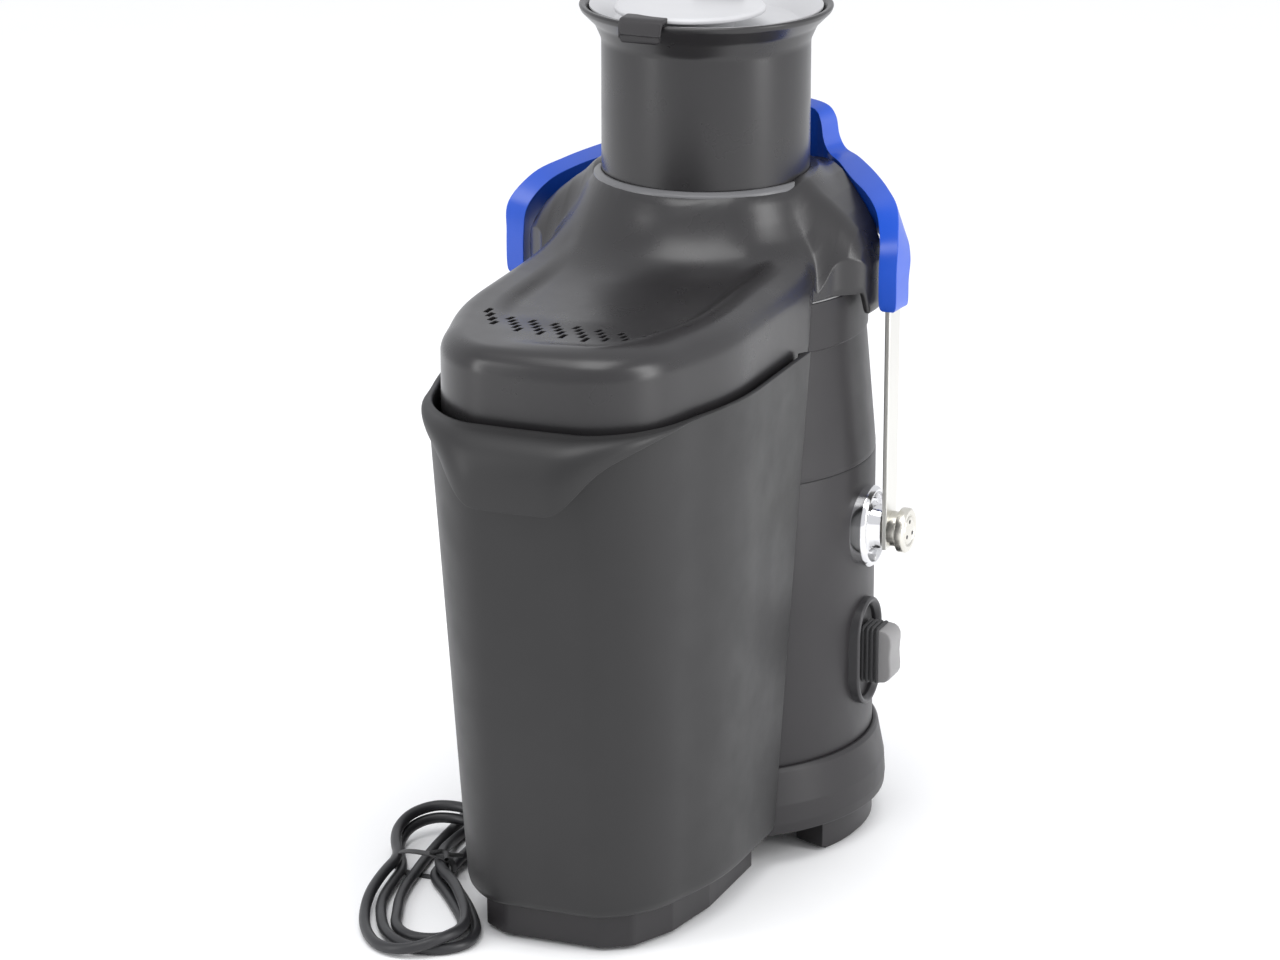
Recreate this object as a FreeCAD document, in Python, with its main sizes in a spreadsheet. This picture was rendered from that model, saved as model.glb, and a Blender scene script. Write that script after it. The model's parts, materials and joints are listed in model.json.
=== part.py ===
import FreeCAD, Part
import math
import os
import re

import Sketcher

# Centrifugal juicer with a rear pulp bin.
# +Z is up, the spout points along -Y, the pulp bin stands on the +Y side and the switch is on -X.
# The origin is on the surface that the juicer stands on, in the middle of its outline.

SIZES = {
    # placing
    "shaft_y": -57.5,            # drive axis, from the middle of the outline
    "gap": 0.5,                  # clearance between parts that move past each other
    # casing
    "wall": 2.5,
    "foot_height": 14,
    "skirt_bottom": 16,
    "skirt_top": 47,
    "skirt_radius": 86,
    "skirt_top_radius": 82,
    "housing_radius": 79.5,
    "housing_bottom": 40,
    "housing_top": 181,
    "hub_bore": 15,
    # motor
    "shaft_radius": 5,
    "motor_radius": 46,
    "stator_bottom": 70,
    "stator_top": 115,
    "rotor_radius": 24.5,
    "frame_top": 150,
    "post_circle": 43,
    "mount_circle": 62,
    # bowl, basket and lid
    "bowl_radius": 79.3,
    "band_radius": 75,
    "band_bottom": 240,
    "bowl_top": 262.5,
    "spout_height": 204,
    "spout_radius": 16,
    "spout_reach": 99,
    "basket_floor": 206.2,
    "lid_edge": 263.4,
    "lid_shoulder": 68.5,
    "lid_shoulder_height": 280,
    "chute_base_radius": 53,
    "chute_base": 308.5,
    "hood_bottom": 238,
    "hood_top": 276.5,
    "hood_reach": 205,
    "hood_half": 66,
    # chute and pushers
    "chute_radius": 47.5,
    "chute_bore": 44.5,
    "chute_bottom": 216,
    "flare_start": 374,
    "chute_top": 388,
    "flare_radius": 57.6,
    "pusher_radius": 44,
    "pusher_bottom": 222,
    "small_offset": 20,
    "small_radius": 20,
    "cap_radius": 34,
    # pulp bin
    "bin_bottom": 18,
    "bin_top": 246,
    "bin_reach": 213,
    "bin_foot_reach": 191,
    "bin_half": 71,
    "bin_foot_half": 60,
    "bin_back_radius": 88,
    "bin_back_top": 235,
    "flap_reach": 230,
    "flap_bottom": 214,
    # handle
    "pivot_height": 149.6,
    "arm_inner": 89.8,
    "arm_thickness": 2.5,
    "arm_half_width": 7,
    "bail_outer": 97,
    "bail_inner": 86,
    "bail_bottom": 252,
    # switch
    "switch_height": 89,
    # cord
    "cord_radius": 2.5,
}

ALONG_X = FreeCAD.Rotation(FreeCAD.Vector(0, 1, 0), 90)
ALONG_MINUS_X = FreeCAD.Rotation(FreeCAD.Vector(0, 1, 0), -90)
ALONG_Y = FreeCAD.Rotation(FreeCAD.Vector(1, 0, 0), -90)

doc = FreeCAD.newDocument("CentrifugalJuicer")
sheet = doc.addObject("Spreadsheet::Sheet", "Sizes")
for row, (size_name, size) in enumerate(SIZES.items(), start=1):
    sheet.set(f"A{row}", size_name)
    sheet.set(f"B{row}", str(size))
    sheet.setAlias(f"B{row}", size_name)
doc.recompute()
nodes = []


# ---- tools for binding sizes to the sheet ----

def bound(text):
    """An expression in which every size is written with its sheet's name."""
    return re.sub(r"[a-z][a-z_]+", lambda found: "Sizes." + found[0] if found[0] in SIZES else found[0], str(text))


def number(text):
    """The present value of an expression."""
    return float(sheet.evalExpression(bound(text)))


def bind(thing, prop, text):
    """Ties one property to an expression."""
    thing.setExpression(prop, bound(text))


def put(thing, x="0", y="0", z="0", turn=FreeCAD.Rotation()):
    """Places a thing, with y measured from the drive axis."""
    thing.Placement = FreeCAD.Placement(FreeCAD.Vector(), turn)
    bind(thing, "Placement.Base.x", x)
    bind(thing, "Placement.Base.y", f"shaft_y + ({y})")
    bind(thing, "Placement.Base.z", z)
    return thing


def node(thing, label):
    """Marks a finished sub-part, which is written to a file of that name."""
    thing.Label = label
    nodes.append(thing)
    return thing


# ---- sketched bodies ----

def new_body(name):
    return put(doc.addObject("PartDesign::Body", name))


def new_sketch(body, role, offset="0"):
    """A sketch on one of the body's own origin planes."""
    sketch = body.newObject("Sketcher::SketchObject", body.Name + "Sketch")
    plane = next(item for item in body.Origin.OriginFeatures if item.Role == role)
    sketch.AttachmentSupport = [(plane, "")]
    sketch.MapMode = "FlatFace"
    if offset != "0":
        bind(sketch, "AttachmentOffset.Base.z", offset)
    return sketch


def arc_between(start, end, radius):
    """An arc; a positive radius bulges to the right of the way from start to end."""
    chord = end - start
    half = chord.Length / 2
    rise = abs(radius) - math.sqrt(radius * radius - half * half)
    right = FreeCAD.Vector(chord.y, -chord.x, 0).normalize()
    middle = (start + end) / 2 + right * math.copysign(rise, radius)
    if radius > 0:
        return Part.Arc(start, middle, end)
    return Part.Arc(end, middle, start)


def outline(sketch, corners):
    """A closed outline. Each corner is (x, y), or (x, y, radius) where an arc leads to the next one."""
    spots = [FreeCAD.Vector(number(corner[0]), number(corner[1]), 0) for corner in corners]
    count = len(corners)
    starts = []
    ends = []
    for index, corner in enumerate(corners):
        here = spots[index]
        there = spots[(index + 1) % count]
        if len(corner) == 3:
            radius = number(corner[2])
            edge = sketch.addGeometry(arc_between(here, there, radius), False)
            held = sketch.addConstraint(Sketcher.Constraint("Radius", edge, abs(radius)))
            sketch.setExpression(f"Constraints[{held}]", bound(f"abs({corner[2]})"))
            starts.append((edge, 1 if radius > 0 else 2))
            ends.append((edge, 2 if radius > 0 else 1))
        else:
            edge = sketch.addGeometry(Part.LineSegment(here, there), False)
            starts.append((edge, 1))
            ends.append((edge, 2))
    for index, corner in enumerate(corners):
        following = starts[(index + 1) % count]
        sketch.addConstraint(Sketcher.Constraint("Coincident", *ends[index], *following))
        for kind, text in (("DistanceX", corner[0]), ("DistanceY", corner[1])):
            held = sketch.addConstraint(Sketcher.Constraint(kind, -1, 1, *starts[index], number(text)))
            sketch.setExpression(f"Constraints[{held}]", bound(text))


def mirrored(half):
    """A whole outline from the corners on its right side, listed from the front to the back."""
    left = []
    for index in reversed(range(len(half))):
        arc = tuple(half[index - 1][2:]) if index > 0 else ()
        left.append((f"-({half[index][0]})", half[index][1]) + arc)
    return list(half) + left


def turned(name, corners):
    """A body of revolution about the drive axis, from half its section as (radius, height)."""
    body = new_body(name)
    sketch = new_sketch(body, "XZ_Plane")
    outline(sketch, corners)
    feature = body.newObject("PartDesign::Revolution", name + "Turn")
    feature.Profile = sketch
    feature.ReferenceAxis = (sketch, ["V_Axis"])
    feature.Angle = 360
    body.Tip = feature
    return body


def raised(name, corners, bottom, top):
    """An upright body from its plan outline, between two heights."""
    body = new_body(name)
    sketch = new_sketch(body, "XY_Plane", bottom)
    outline(sketch, corners)
    feature = body.newObject("PartDesign::Pad", name + "Pad")
    feature.Profile = sketch
    bind(feature, "Length", f"({top}) - ({bottom})")
    body.Tip = feature
    return body


def crosswise(name, role, corners, start, end):
    """A body from its outline seen from the front or the side, between two distances."""
    body = new_body(name)
    sketch = new_sketch(body, role, start)
    outline(sketch, corners)
    feature = body.newObject("PartDesign::Pad", name + "Pad")
    feature.Profile = sketch
    bind(feature, "Length", f"({end}) - ({start})")
    body.Tip = feature
    return body


def rounded(body, radius, chosen):
    """Rounds the body's edges for which chosen(edge) holds."""
    doc.recompute()
    base = body.Tip
    names = [f"Edge{index}" for index, edge in enumerate(base.Shape.Edges, start=1) if chosen(edge)]
    feature = body.newObject("PartDesign::Fillet", body.Name + "Round")
    feature.Base = (base, names)
    bind(feature, "Radius", radius)
    body.Tip = feature
    return body


# ---- primitives and booleans ----

def solid_round(radius, length, x="0", y="0", z="0", turn=FreeCAD.Rotation(), sector=360):
    thing = doc.addObject("Part::Cylinder", "Round")
    bind(thing, "Radius", radius)
    bind(thing, "Height", length)
    thing.Angle = sector
    return put(thing, x, y, z, turn)


def solid_block(length_x, length_y, length_z, x="0", y="0", z="0"):
    """A block centred on x and y that stands on z."""
    thing = doc.addObject("Part::Box", "Block")
    bind(thing, "Length", length_x)
    bind(thing, "Width", length_y)
    bind(thing, "Height", length_z)
    return put(thing, f"({x}) - ({length_x}) / 2", f"({y}) - ({length_y}) / 2", z)


def turned_block(length_x, length_y, length_z, radius, angle, z, twist=0):
    """A block centred at an angle about the drive axis, its length pointing outward unless twisted."""
    heading = angle + twist
    along = f"({length_x}) / 2"
    across = f"({length_y}) / 2"
    thing = solid_block(length_x, length_y, length_z)
    return put(thing,
               f"({radius}) * cos({angle}) - {along} * cos({heading}) + {across} * sin({heading})",
               f"({radius}) * sin({angle}) - {along} * sin({heading}) - {across} * cos({heading})",
               z, FreeCAD.Rotation(FreeCAD.Vector(0, 0, 1), heading))


def solid_cone(radius_low, radius_high, length, x="0", y="0", z="0", turn=FreeCAD.Rotation()):
    thing = doc.addObject("Part::Cone", "Taper")
    bind(thing, "Radius1", radius_low)
    bind(thing, "Radius2", radius_high)
    bind(thing, "Height", length)
    return put(thing, x, y, z, turn)


def solid_ball(radius, x="0", y="0", z="0"):
    thing = doc.addObject("Part::Sphere", "Ball")
    bind(thing, "Radius", radius)
    return put(thing, x, y, z)


def cut(base, *tools):
    """The base with every tool taken away."""
    thing = doc.addObject("Part::Cut", "Cut")
    thing.Base = base
    thing.Tool = tools[0] if len(tools) == 1 else group(*tools)
    return thing


def fuse(*things):
    thing = doc.addObject("Part::MultiFuse", "Fuse")
    thing.Shapes = list(things)
    thing.Refine = True
    return thing


def common(*things):
    thing = doc.addObject("Part::MultiCommon", "Common")
    thing.Shapes = list(things)
    return thing


def group(*things):
    """Separate solids kept together as one object."""
    thing = doc.addObject("Part::Compound", "Group")
    thing.Links = list(things)
    return thing


def ring(outer, inner, length, z, x="0", y="0", turn=FreeCAD.Rotation()):
    return cut(solid_round(outer, length, x, y, z, turn), solid_round(inner, length, x, y, z, turn))


def around(count, first=0):
    """Evenly spaced angles in degrees."""
    return [first + index * 360 / count for index in range(count)]


def sector(outer, inner, length, z, middle, spread):
    """Part of a ring, spread degrees wide, about the drive axis."""
    turn = FreeCAD.Rotation(FreeCAD.Vector(0, 0, 1), middle - spread / 2)
    whole = solid_round(outer, length, z=z, turn=turn, sector=spread)
    return cut(whole, solid_round(inner, length, z=z))


def is_upright(edge):
    """True for an edge that climbs, straight or leaning."""
    box = edge.BoundBox
    return box.ZLength > 0.8 * edge.Length and box.ZLength > 5


# ---- base ----

def make_base(gland_hole):
    skirt = turned("BaseSkirt", [
        ("skirt_radius - wall", "skirt_bottom"), ("skirt_radius", "skirt_bottom"),
        ("skirt_radius", "skirt_bottom + 5", "-120"), ("skirt_top_radius", "skirt_top - 1.5"),
        ("skirt_top_radius - 1", "skirt_top"), ("housing_radius + 0.3", "skirt_top"),
        ("housing_radius + 0.3", "housing_bottom"), ("skirt_radius - wall", "skirt_bottom + 8"),
    ])
    node(cut(skirt, gland_hole), "base_skirt")
    vents = [turned_block("28", "4", "10", "44", angle, "skirt_bottom - 4") for angle in around(12, 15)]
    node(cut(solid_round("skirt_radius - wall - 0.2", "wall", z="skirt_bottom - 0.5"), *vents), "base_plate")
    legs = [sector("80", "63", "skirt_bottom - 2.5", "2", middle, 50) for middle in (0, 180, 270)]
    node(group(*legs), "base_legs")
    pads = [sector("78", "65", "2", "0", middle, 44) for middle in (0, 180, 270)]
    pads += [solid_round("7", "2", side + "24", "150", "0") for side in ("", "-")]
    node(group(*pads), "rubber_feet")
    ledge = mirrored([("50", "62"), ("50", "120"), ("45", "152"), ("35", "174"), ("23", "181.7")])
    inner = mirrored([("46", "92"), ("46", "119"), ("41", "150"), ("32", "171"), ("22", "177.7")])
    lower = rounded(raised("Platform", ledge, "2", "bin_bottom - gap"), "6", is_upright)
    hollow = raised("PlatformHollow", inner, "0", "bin_bottom - 4")
    seat = solid_round("skirt_radius + 0.3", "20", z="skirt_bottom - 0.5")
    studs = [solid_round("8", "bin_bottom - 4", side + "24", "150", "2") for side in ("", "-")]
    node(cut(fuse(cut(lower, hollow), *studs), seat), "bin_platform")
    screws = []
    for angle in (40, 140, 225, 315):
        spot = (f"70 * cos({angle})", f"70 * sin({angle})")
        screws.append(solid_round("3.5", "2", *spot, "skirt_bottom - 2.5"))
    node(group(*screws), "base_screws")


# ---- motor ----

def make_motor():
    plate = ring("motor_radius", "14", "3", "40")
    wall = ring("motor_radius", "motor_radius - 5", "stator_bottom - 40", "40")
    boss = ring("14.5", "11.02", "10", "40")
    floor = ring("12", "shaft_radius + 0.5", "1.5", "40")
    screw_spots = [(f"post_circle * cos({angle})", f"post_circle * sin({angle})") for angle in around(4, 45)]
    bores = [solid_round("1.55", "50", *spot, "35") for spot in screw_spots]
    windows = [turned_block("20", "24", "16", "motor_radius", angle, "48") for angle in around(4)]
    node(cut(fuse(plate, wall, boss, floor), *bores, *windows), "motor_lower_frame")
    node(ring("11", "shaft_radius + 0.02", "7", "42.5"), "lower_bearing")
    stack = ring("motor_radius", "rotor_radius + gap", "stator_top - stator_bottom", "stator_bottom")
    slots = [sector("38", "28", "60", "stator_bottom - 5", middle, 50) for middle in (0, 180)]
    stack_bores = [solid_round("1.55", "60", *spot, "stator_bottom - 5") for spot in screw_spots]
    node(cut(stack, *slots, *stack_bores), "motor_stator")
    coils = [fuse(sector("37.7", "28.3", "57", "stator_bottom - 6", middle, 49.4),
                  sector("37.7", "28.3", "6", "stator_top", middle, 80),
                  sector("37.7", "28.3", "6", "stator_bottom - 6", middle, 80)) for middle in (0, 180)]
    node(group(*coils), "field_windings")
    teeth = [solid_round("2.2", "47", f"(rotor_radius - 2.4) * cos({angle})", f"(rotor_radius - 2.4) * sin({angle})",
                         "stator_bottom - 1") for angle in around(12)]
    core = ring("rotor_radius", "shaft_radius", "stator_top - stator_bottom", "stator_bottom")
    node(cut(core, *teeth), "motor_rotor")
    ends = [ring("21", "shaft_radius", "5", "stator_top"), ring("21", "shaft_radius", "5", "stator_bottom - 5")]
    node(group(*ends), "rotor_windings")
    node(ring("13", "shaft_radius", "16", "stator_top + 6"), "commutator")
    node(solid_round("shaft_radius", "180.5", z="36"), "motor_shaft")
    hub = ring("11", "shaft_radius", "9", "50.5")
    blades = [turned_block("24", "1.6", "9", "23.5", angle, "51.5", 25) for angle in around(9)]
    node(fuse(hub, ring("37", "shaft_radius", "1.2", "50.5"), *blades), "cooling_fan")
    arms = [turned_block("58", "18", "4", "42", angle, "frame_top") for angle in around(3, 90)]
    posts = [solid_round("3", "frame_top - stator_top + 1", *spot, "stator_top") for spot in screw_spots]
    top_plate = solid_round("48", "4", z="frame_top")
    top_boss = solid_round("15", "8", z="frame_top - 7.5")
    seat = solid_round("11.02", "7.5", z="frame_top - 8")
    passage = solid_round("shaft_radius + 0.5", "20", z="frame_top - 8")
    post_bores = [solid_round("1.55", "22", *spot, "stator_top - 1") for spot in screw_spots]
    mount_spots = [(f"mount_circle * cos({angle})", f"mount_circle * sin({angle})") for angle in around(3, 90)]
    arm_bores = [solid_round("2.3", "10", *spot, "frame_top - 2") for spot in mount_spots]
    frame = fuse(top_plate, top_boss, *arms, *posts)
    node(cut(frame, seat, passage, *post_bores, *arm_bores), "motor_upper_frame")
    node(ring("11", "shaft_radius + 0.02", "7", "frame_top - 7.5"), "upper_bearing")
    screws = [fuse(solid_round("3", "2", *spot, "38"), solid_round("1.5", "96", *spot, "40"))
              for spot in screw_spots]
    node(group(*screws), "motor_screws")
    cushions = [cut(solid_round("8", "8", *spot, "frame_top + 4"), solid_round("2.3", "8", *spot, "frame_top + 4"))
                for spot in mount_spots]
    node(group(*cushions), "motor_mounts")
    mount_screws = [fuse(solid_round("5", "2.5", *spot, "frame_top - 2.5"), solid_round("2", "20", *spot, "frame_top"))
                    for spot in mount_spots]
    node(group(*mount_screws), "mount_screws")
    holders = []
    brushes = []
    for side in ("", "-"):
        outer = solid_block("22", "12", "12", side + "26", "0", "stator_top + 8")
        slot = solid_block("22", "8.1", "8.1", side + "26", "0", "stator_top + 10")
        stem = solid_block("5", "12", "frame_top - stator_top - 20", side + "34.5", "0", "stator_top + 20")
        holders.append(fuse(cut(outer, slot), stem))
        brushes.append(solid_block("18", "8", "8", side + "22.3", "0", "stator_top + 10.05"))
    node(group(*holders), "brush_holders")
    node(group(*brushes), "carbon_brushes")
    node(ring("13", "shaft_radius", "21.8", "184.2"), "drive_coupling")
    node(ring("hub_bore - 0.1", "shaft_radius + 0.05", "6", "174.5"), "shaft_seal")


# ---- housing ----

SCREW_LEVEL = "15.2"             # how far above and below the pivot the bracket's screws are
SCREW_BORE = "1.65"


def make_housing():
    shell = turned("Housing", [
        ("housing_radius - wall", "housing_bottom"), ("housing_radius", "housing_bottom"),
        ("housing_radius", "housing_top"), ("housing_radius - wall", "housing_top"),
        ("housing_radius - wall", "177"), ("20", "177"), ("20", "183"), ("hub_bore", "183"),
        ("hub_bore", "174"), ("housing_radius - wall", "174"),
    ])
    bosses = []
    holes = []
    for angle in around(3, 90):
        spot = (f"mount_circle * cos({angle})", f"mount_circle * sin({angle})")
        bosses.append(solid_round("7", "12.5", *spot, "frame_top + 12"))
        holes.append(solid_round("2.05", "9", *spot, "frame_top + 11.5"))
    switch_opening = solid_block("20", "17", "24", "-housing_radius", "0", "switch_height - 12")
    for side in ("", "-"):
        near = side + "(housing_radius + 10)" if side else "housing_radius - 10"
        holes.append(solid_round("4.05", "20", near, "0", "pivot_height", ALONG_X))
        for level in (SCREW_LEVEL, "-" + SCREW_LEVEL):
            holes.append(solid_round(SCREW_BORE, "20", near, "0", f"pivot_height + ({level})", ALONG_X))
    node(cut(fuse(shell, *bosses), switch_opening, *holes), "motor_housing")
    board = solid_block("50", "1.6", "50", "0", "-66", "60")
    parts = [solid_block("16", "8", "12", "-12", "-61.2", "86"), solid_round("6", "16", "12", "-60.2", "66"),
             solid_block("10", "8", "18", "-8", "-61.2", "62")]
    parts += [solid_block("5", "8", "5", side + "20", "-69.8", "82") for side in ("", "-")]
    node(fuse(board, *parts), "speed_control_board")
    node(solid_block("12", "22", "12", "60", "30", "skirt_bottom + 2"), "terminal_block")
    body = solid_block("12", "20", "26", "69", "0", "106")
    plunger = solid_round("2", "6", "69", "0", "131")
    node(fuse(body, plunger), "interlock_switch")


# ---- switch on the left side ----

def make_switch():
    def racetrack(radius, start, length):
        """A disc stretched upward about the switch, from one distance out to another."""
        ends = [solid_round(radius, length, f"-({start})", "0", f"switch_height {shift}", ALONG_MINUS_X)
                for shift in ("- 9.5", "+ 9.5")]
        web = solid_block(length, f"2 * ({radius})", "19", f"-({start}) - ({length}) / 2", "0",
                          "switch_height - 9.5")
        return fuse(*ends, web)
    core = solid_round("housing_radius", "60", z="switch_height - 30")
    plate = racetrack("16", "70", "13")
    dish = racetrack("13.2", "80.6", "6")
    opening = solid_block("30", "17", "28", "-housing_radius", "0", "switch_height - 14")
    node(cut(plate, core, opening, dish), "switch_bezel")
    ridges = [solid_block("1.5", "16", "27", f"-({81.6 + 2.3 * index})", "0", "switch_height - 13.5")
              for index in range(4)]
    core_block = solid_block("14", "12.5", "20", "-82.2", "0", "switch_height - 10")
    pivot_pin = solid_round("2", "15.6", "-82", "-7.8", "switch_height", ALONG_Y)
    node(fuse(core_block, pivot_pin, *ridges), "switch_boot")
    button = crosswise("Rocker", "XZ_Plane", [
        ("-89.3", "switch_height - 12.5"), ("-94.4", "switch_height - 12"), ("-95.6", "switch_height - 9"),
        ("-95", "switch_height"), ("-95.6", "switch_height + 9"), ("-94.4", "switch_height + 12"),
        ("-89.3", "switch_height + 12.5"),
    ][::-1], "-7.2", "7.2")
    node(button, "rocker_button")


# ---- handle ----

def make_handle():
    brackets = []
    arms = []
    caps = []
    studs = []
    bracket_screws = []
    for side, turn in (("", ALONG_X), ("-", ALONG_MINUS_X)):
        def out(distance):
            return f"{side}({distance})"
        def disc(radius, start, length, turn=turn, out=out, y="0", z="pivot_height"):
            return solid_round(radius, length, out(start), y, z, turn)
        def long_disc(radius, start, length, disc=disc):
            low = disc(radius, start, length, z="pivot_height - 2.5")
            high = disc(radius, start, length, z="pivot_height + 2.5")
            web = solid_block(length, f"2 * ({radius})", "5", out(f"{start} + ({length}) / 2"), "0",
                              "pivot_height - 2.5")
            return fuse(low, high, web)
        core = solid_round("housing_radius", "60", z="pivot_height - 30")
        base = cut(long_disc("16.5", "68", "17"), core)
        groove = cut(long_disc("13.8", "82.5", "5"), long_disc("8.5", "80", "10"))
        bore = disc("4.05", "60", "60")
        levels = [f"pivot_height + ({level})" for level in (SCREW_LEVEL, "-" + SCREW_LEVEL)]
        screw_bores = [disc(SCREW_BORE, "60", "60", z=level) for level in levels]
        brackets.append(cut(fuse(cut(base, groove), disc("8", "82", "7.4")), bore, *screw_bores))
        studs.append(fuse(disc("4", "74", "21.8"), disc("8", "72", "4.4")))
        bar = solid_block("arm_thickness", "2 * arm_half_width", "262 - pivot_height",
                          out("arm_inner + arm_thickness / 2"), "0", "pivot_height")
        eye = disc("9", "arm_inner", "arm_thickness")
        arms.append(cut(fuse(bar, eye), bore))
        cap = fuse(disc("8.2", "arm_inner + 2.8", "4.2"), disc("10.5", "arm_inner + 6.6", "4.6"))
        pits = [disc("0.9", "arm_inner + 10", "3", y=f"5.5 * cos({angle})", z=f"pivot_height + 5.5 * sin({angle})")
                for angle in around(3, 90)]
        caps.append(cut(cap, *pits, disc("4.02", "arm_inner", "6.1")))
        bracket_screws += [disc("1.6", "76", "9", z=level) for level in levels]
    node(group(*brackets), "pivot_brackets")
    node(group(*studs), "pivot_studs")
    node(group(*caps), "pivot_caps")
    plan = crosswise("BailPlan", "XY_Plane", mirrored([
        ("bail_inner", "9"), ("bail_outer", "9"), ("bail_outer", "-9"), ("70", "-37"), ("46", "-57"), ("20", "-60"),
    ]), "250", "336")
    front = crosswise("BailFront", "XZ_Plane", mirrored([
        ("bail_inner", "bail_bottom + 3"), ("bail_outer - 3", "bail_bottom"), ("bail_outer", "bail_bottom + 8"),
        ("bail_outer", "288"), ("66", "309"), ("45", "312"), ("42", "327"), ("34", "334"),
    ]), "-20", "70")
    inside = raised("BailInside", mirrored([
        ("bail_inner", "20"), ("bail_inner", "-6"), ("60", "-29"), ("39", "-48.6"),
    ]), "240", "340")
    under = crosswise("BailUnder", "XZ_Plane", mirrored([
        ("bail_inner", "240"), ("bail_inner", "279"), ("57", "298"), ("36", "305"), ("22", "315"),
    ]), "-30", "80")
    bail = cut(common(plan, front), inside, under)
    pockets = [solid_block("arm_thickness + 0.1", "2 * arm_half_width + 0.1", "20",
                           f"{side}(arm_inner + arm_thickness / 2)", "0", "242.5") for side in ("", "-")]
    node(cut(bail, *pockets), "handle_bail")
    for arm, label in zip(arms, ("handle_arm_right", "handle_arm_left")):
        node(arm, label)
    node(group(*bracket_screws), "bracket_screws")


# ---- bowl and basket ----

def make_bowl():
    shell = turned("Bowl", [
        ("bowl_radius - wall", "housing_top + 0.2"), ("bowl_radius", "housing_top + 0.2"),
        ("bowl_radius", "housing_top + 2"), ("band_radius - 0.8", "band_bottom"), ("band_radius", "band_bottom + 0.6"),
        ("band_radius", "bowl_top"), ("band_radius - wall", "bowl_top"), ("band_radius - wall", "band_bottom"),
        ("bowl_radius - wall - 0.4", "188.5"), ("26", "188.5"), ("26", "202"), ("23.5", "202"), ("23.5", "186"),
        ("bowl_radius - wall", "186"),
    ])
    across = solid_round("spout_radius", "36", y="-spout_reach", z="spout_height", turn=ALONG_Y)
    down = solid_round("spout_radius", "26", y="-spout_reach", z="spout_height - 26")
    bend = solid_ball("spout_radius", y="-spout_reach", z="spout_height")
    spout = cut(fuse(across, down, bend), solid_round("bowl_radius - 4", "60", z="spout_height - 30"))
    bore = "spout_radius - wall"
    channel = fuse(solid_round(bore, "40", y="-spout_reach", z="spout_height", turn=ALONG_Y),
                   solid_round(bore, "30", y="-spout_reach", z="spout_height - 30"),
                   solid_ball(bore, y="-spout_reach", z="spout_height"))
    node(cut(fuse(shell, spout), channel), "juice_bowl")
    node(ring("23", "20.2", "2.6", "183.2"), "bowl_seal")
    node(turned("Basket", [
        ("49", "basket_floor + 2.5"), ("49", "basket_floor"), ("51", "basket_floor"), ("69", "246"),
        ("70.2", "246"), ("70.2", "250"), ("68", "250"), ("68", "248"), ("50", "basket_floor + 2.5"),
    ]), "filter_basket")
    node(fuse(ring("48.8", "shaft_radius", "2.5", "basket_floor"), ring("16.5", "13.3", "8", "basket_floor - 8")),
         "basket_hub")
    teeth = []
    for ring_radius, count in (("18", 8), ("28", 12), ("38", 18)):
        for angle in around(count):
            teeth.append(turned_block("4", "1", "2.5", ring_radius, angle, "basket_floor + 3.4", 60))
    node(fuse(ring("46", "shaft_radius", "1.2", "basket_floor + 2.5"), *teeth), "cutting_disc")
    node(ring("9", "shaft_radius", "4.5", "basket_floor + 3.7"), "basket_nut")


# ---- lid, chute and pushers ----

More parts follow.
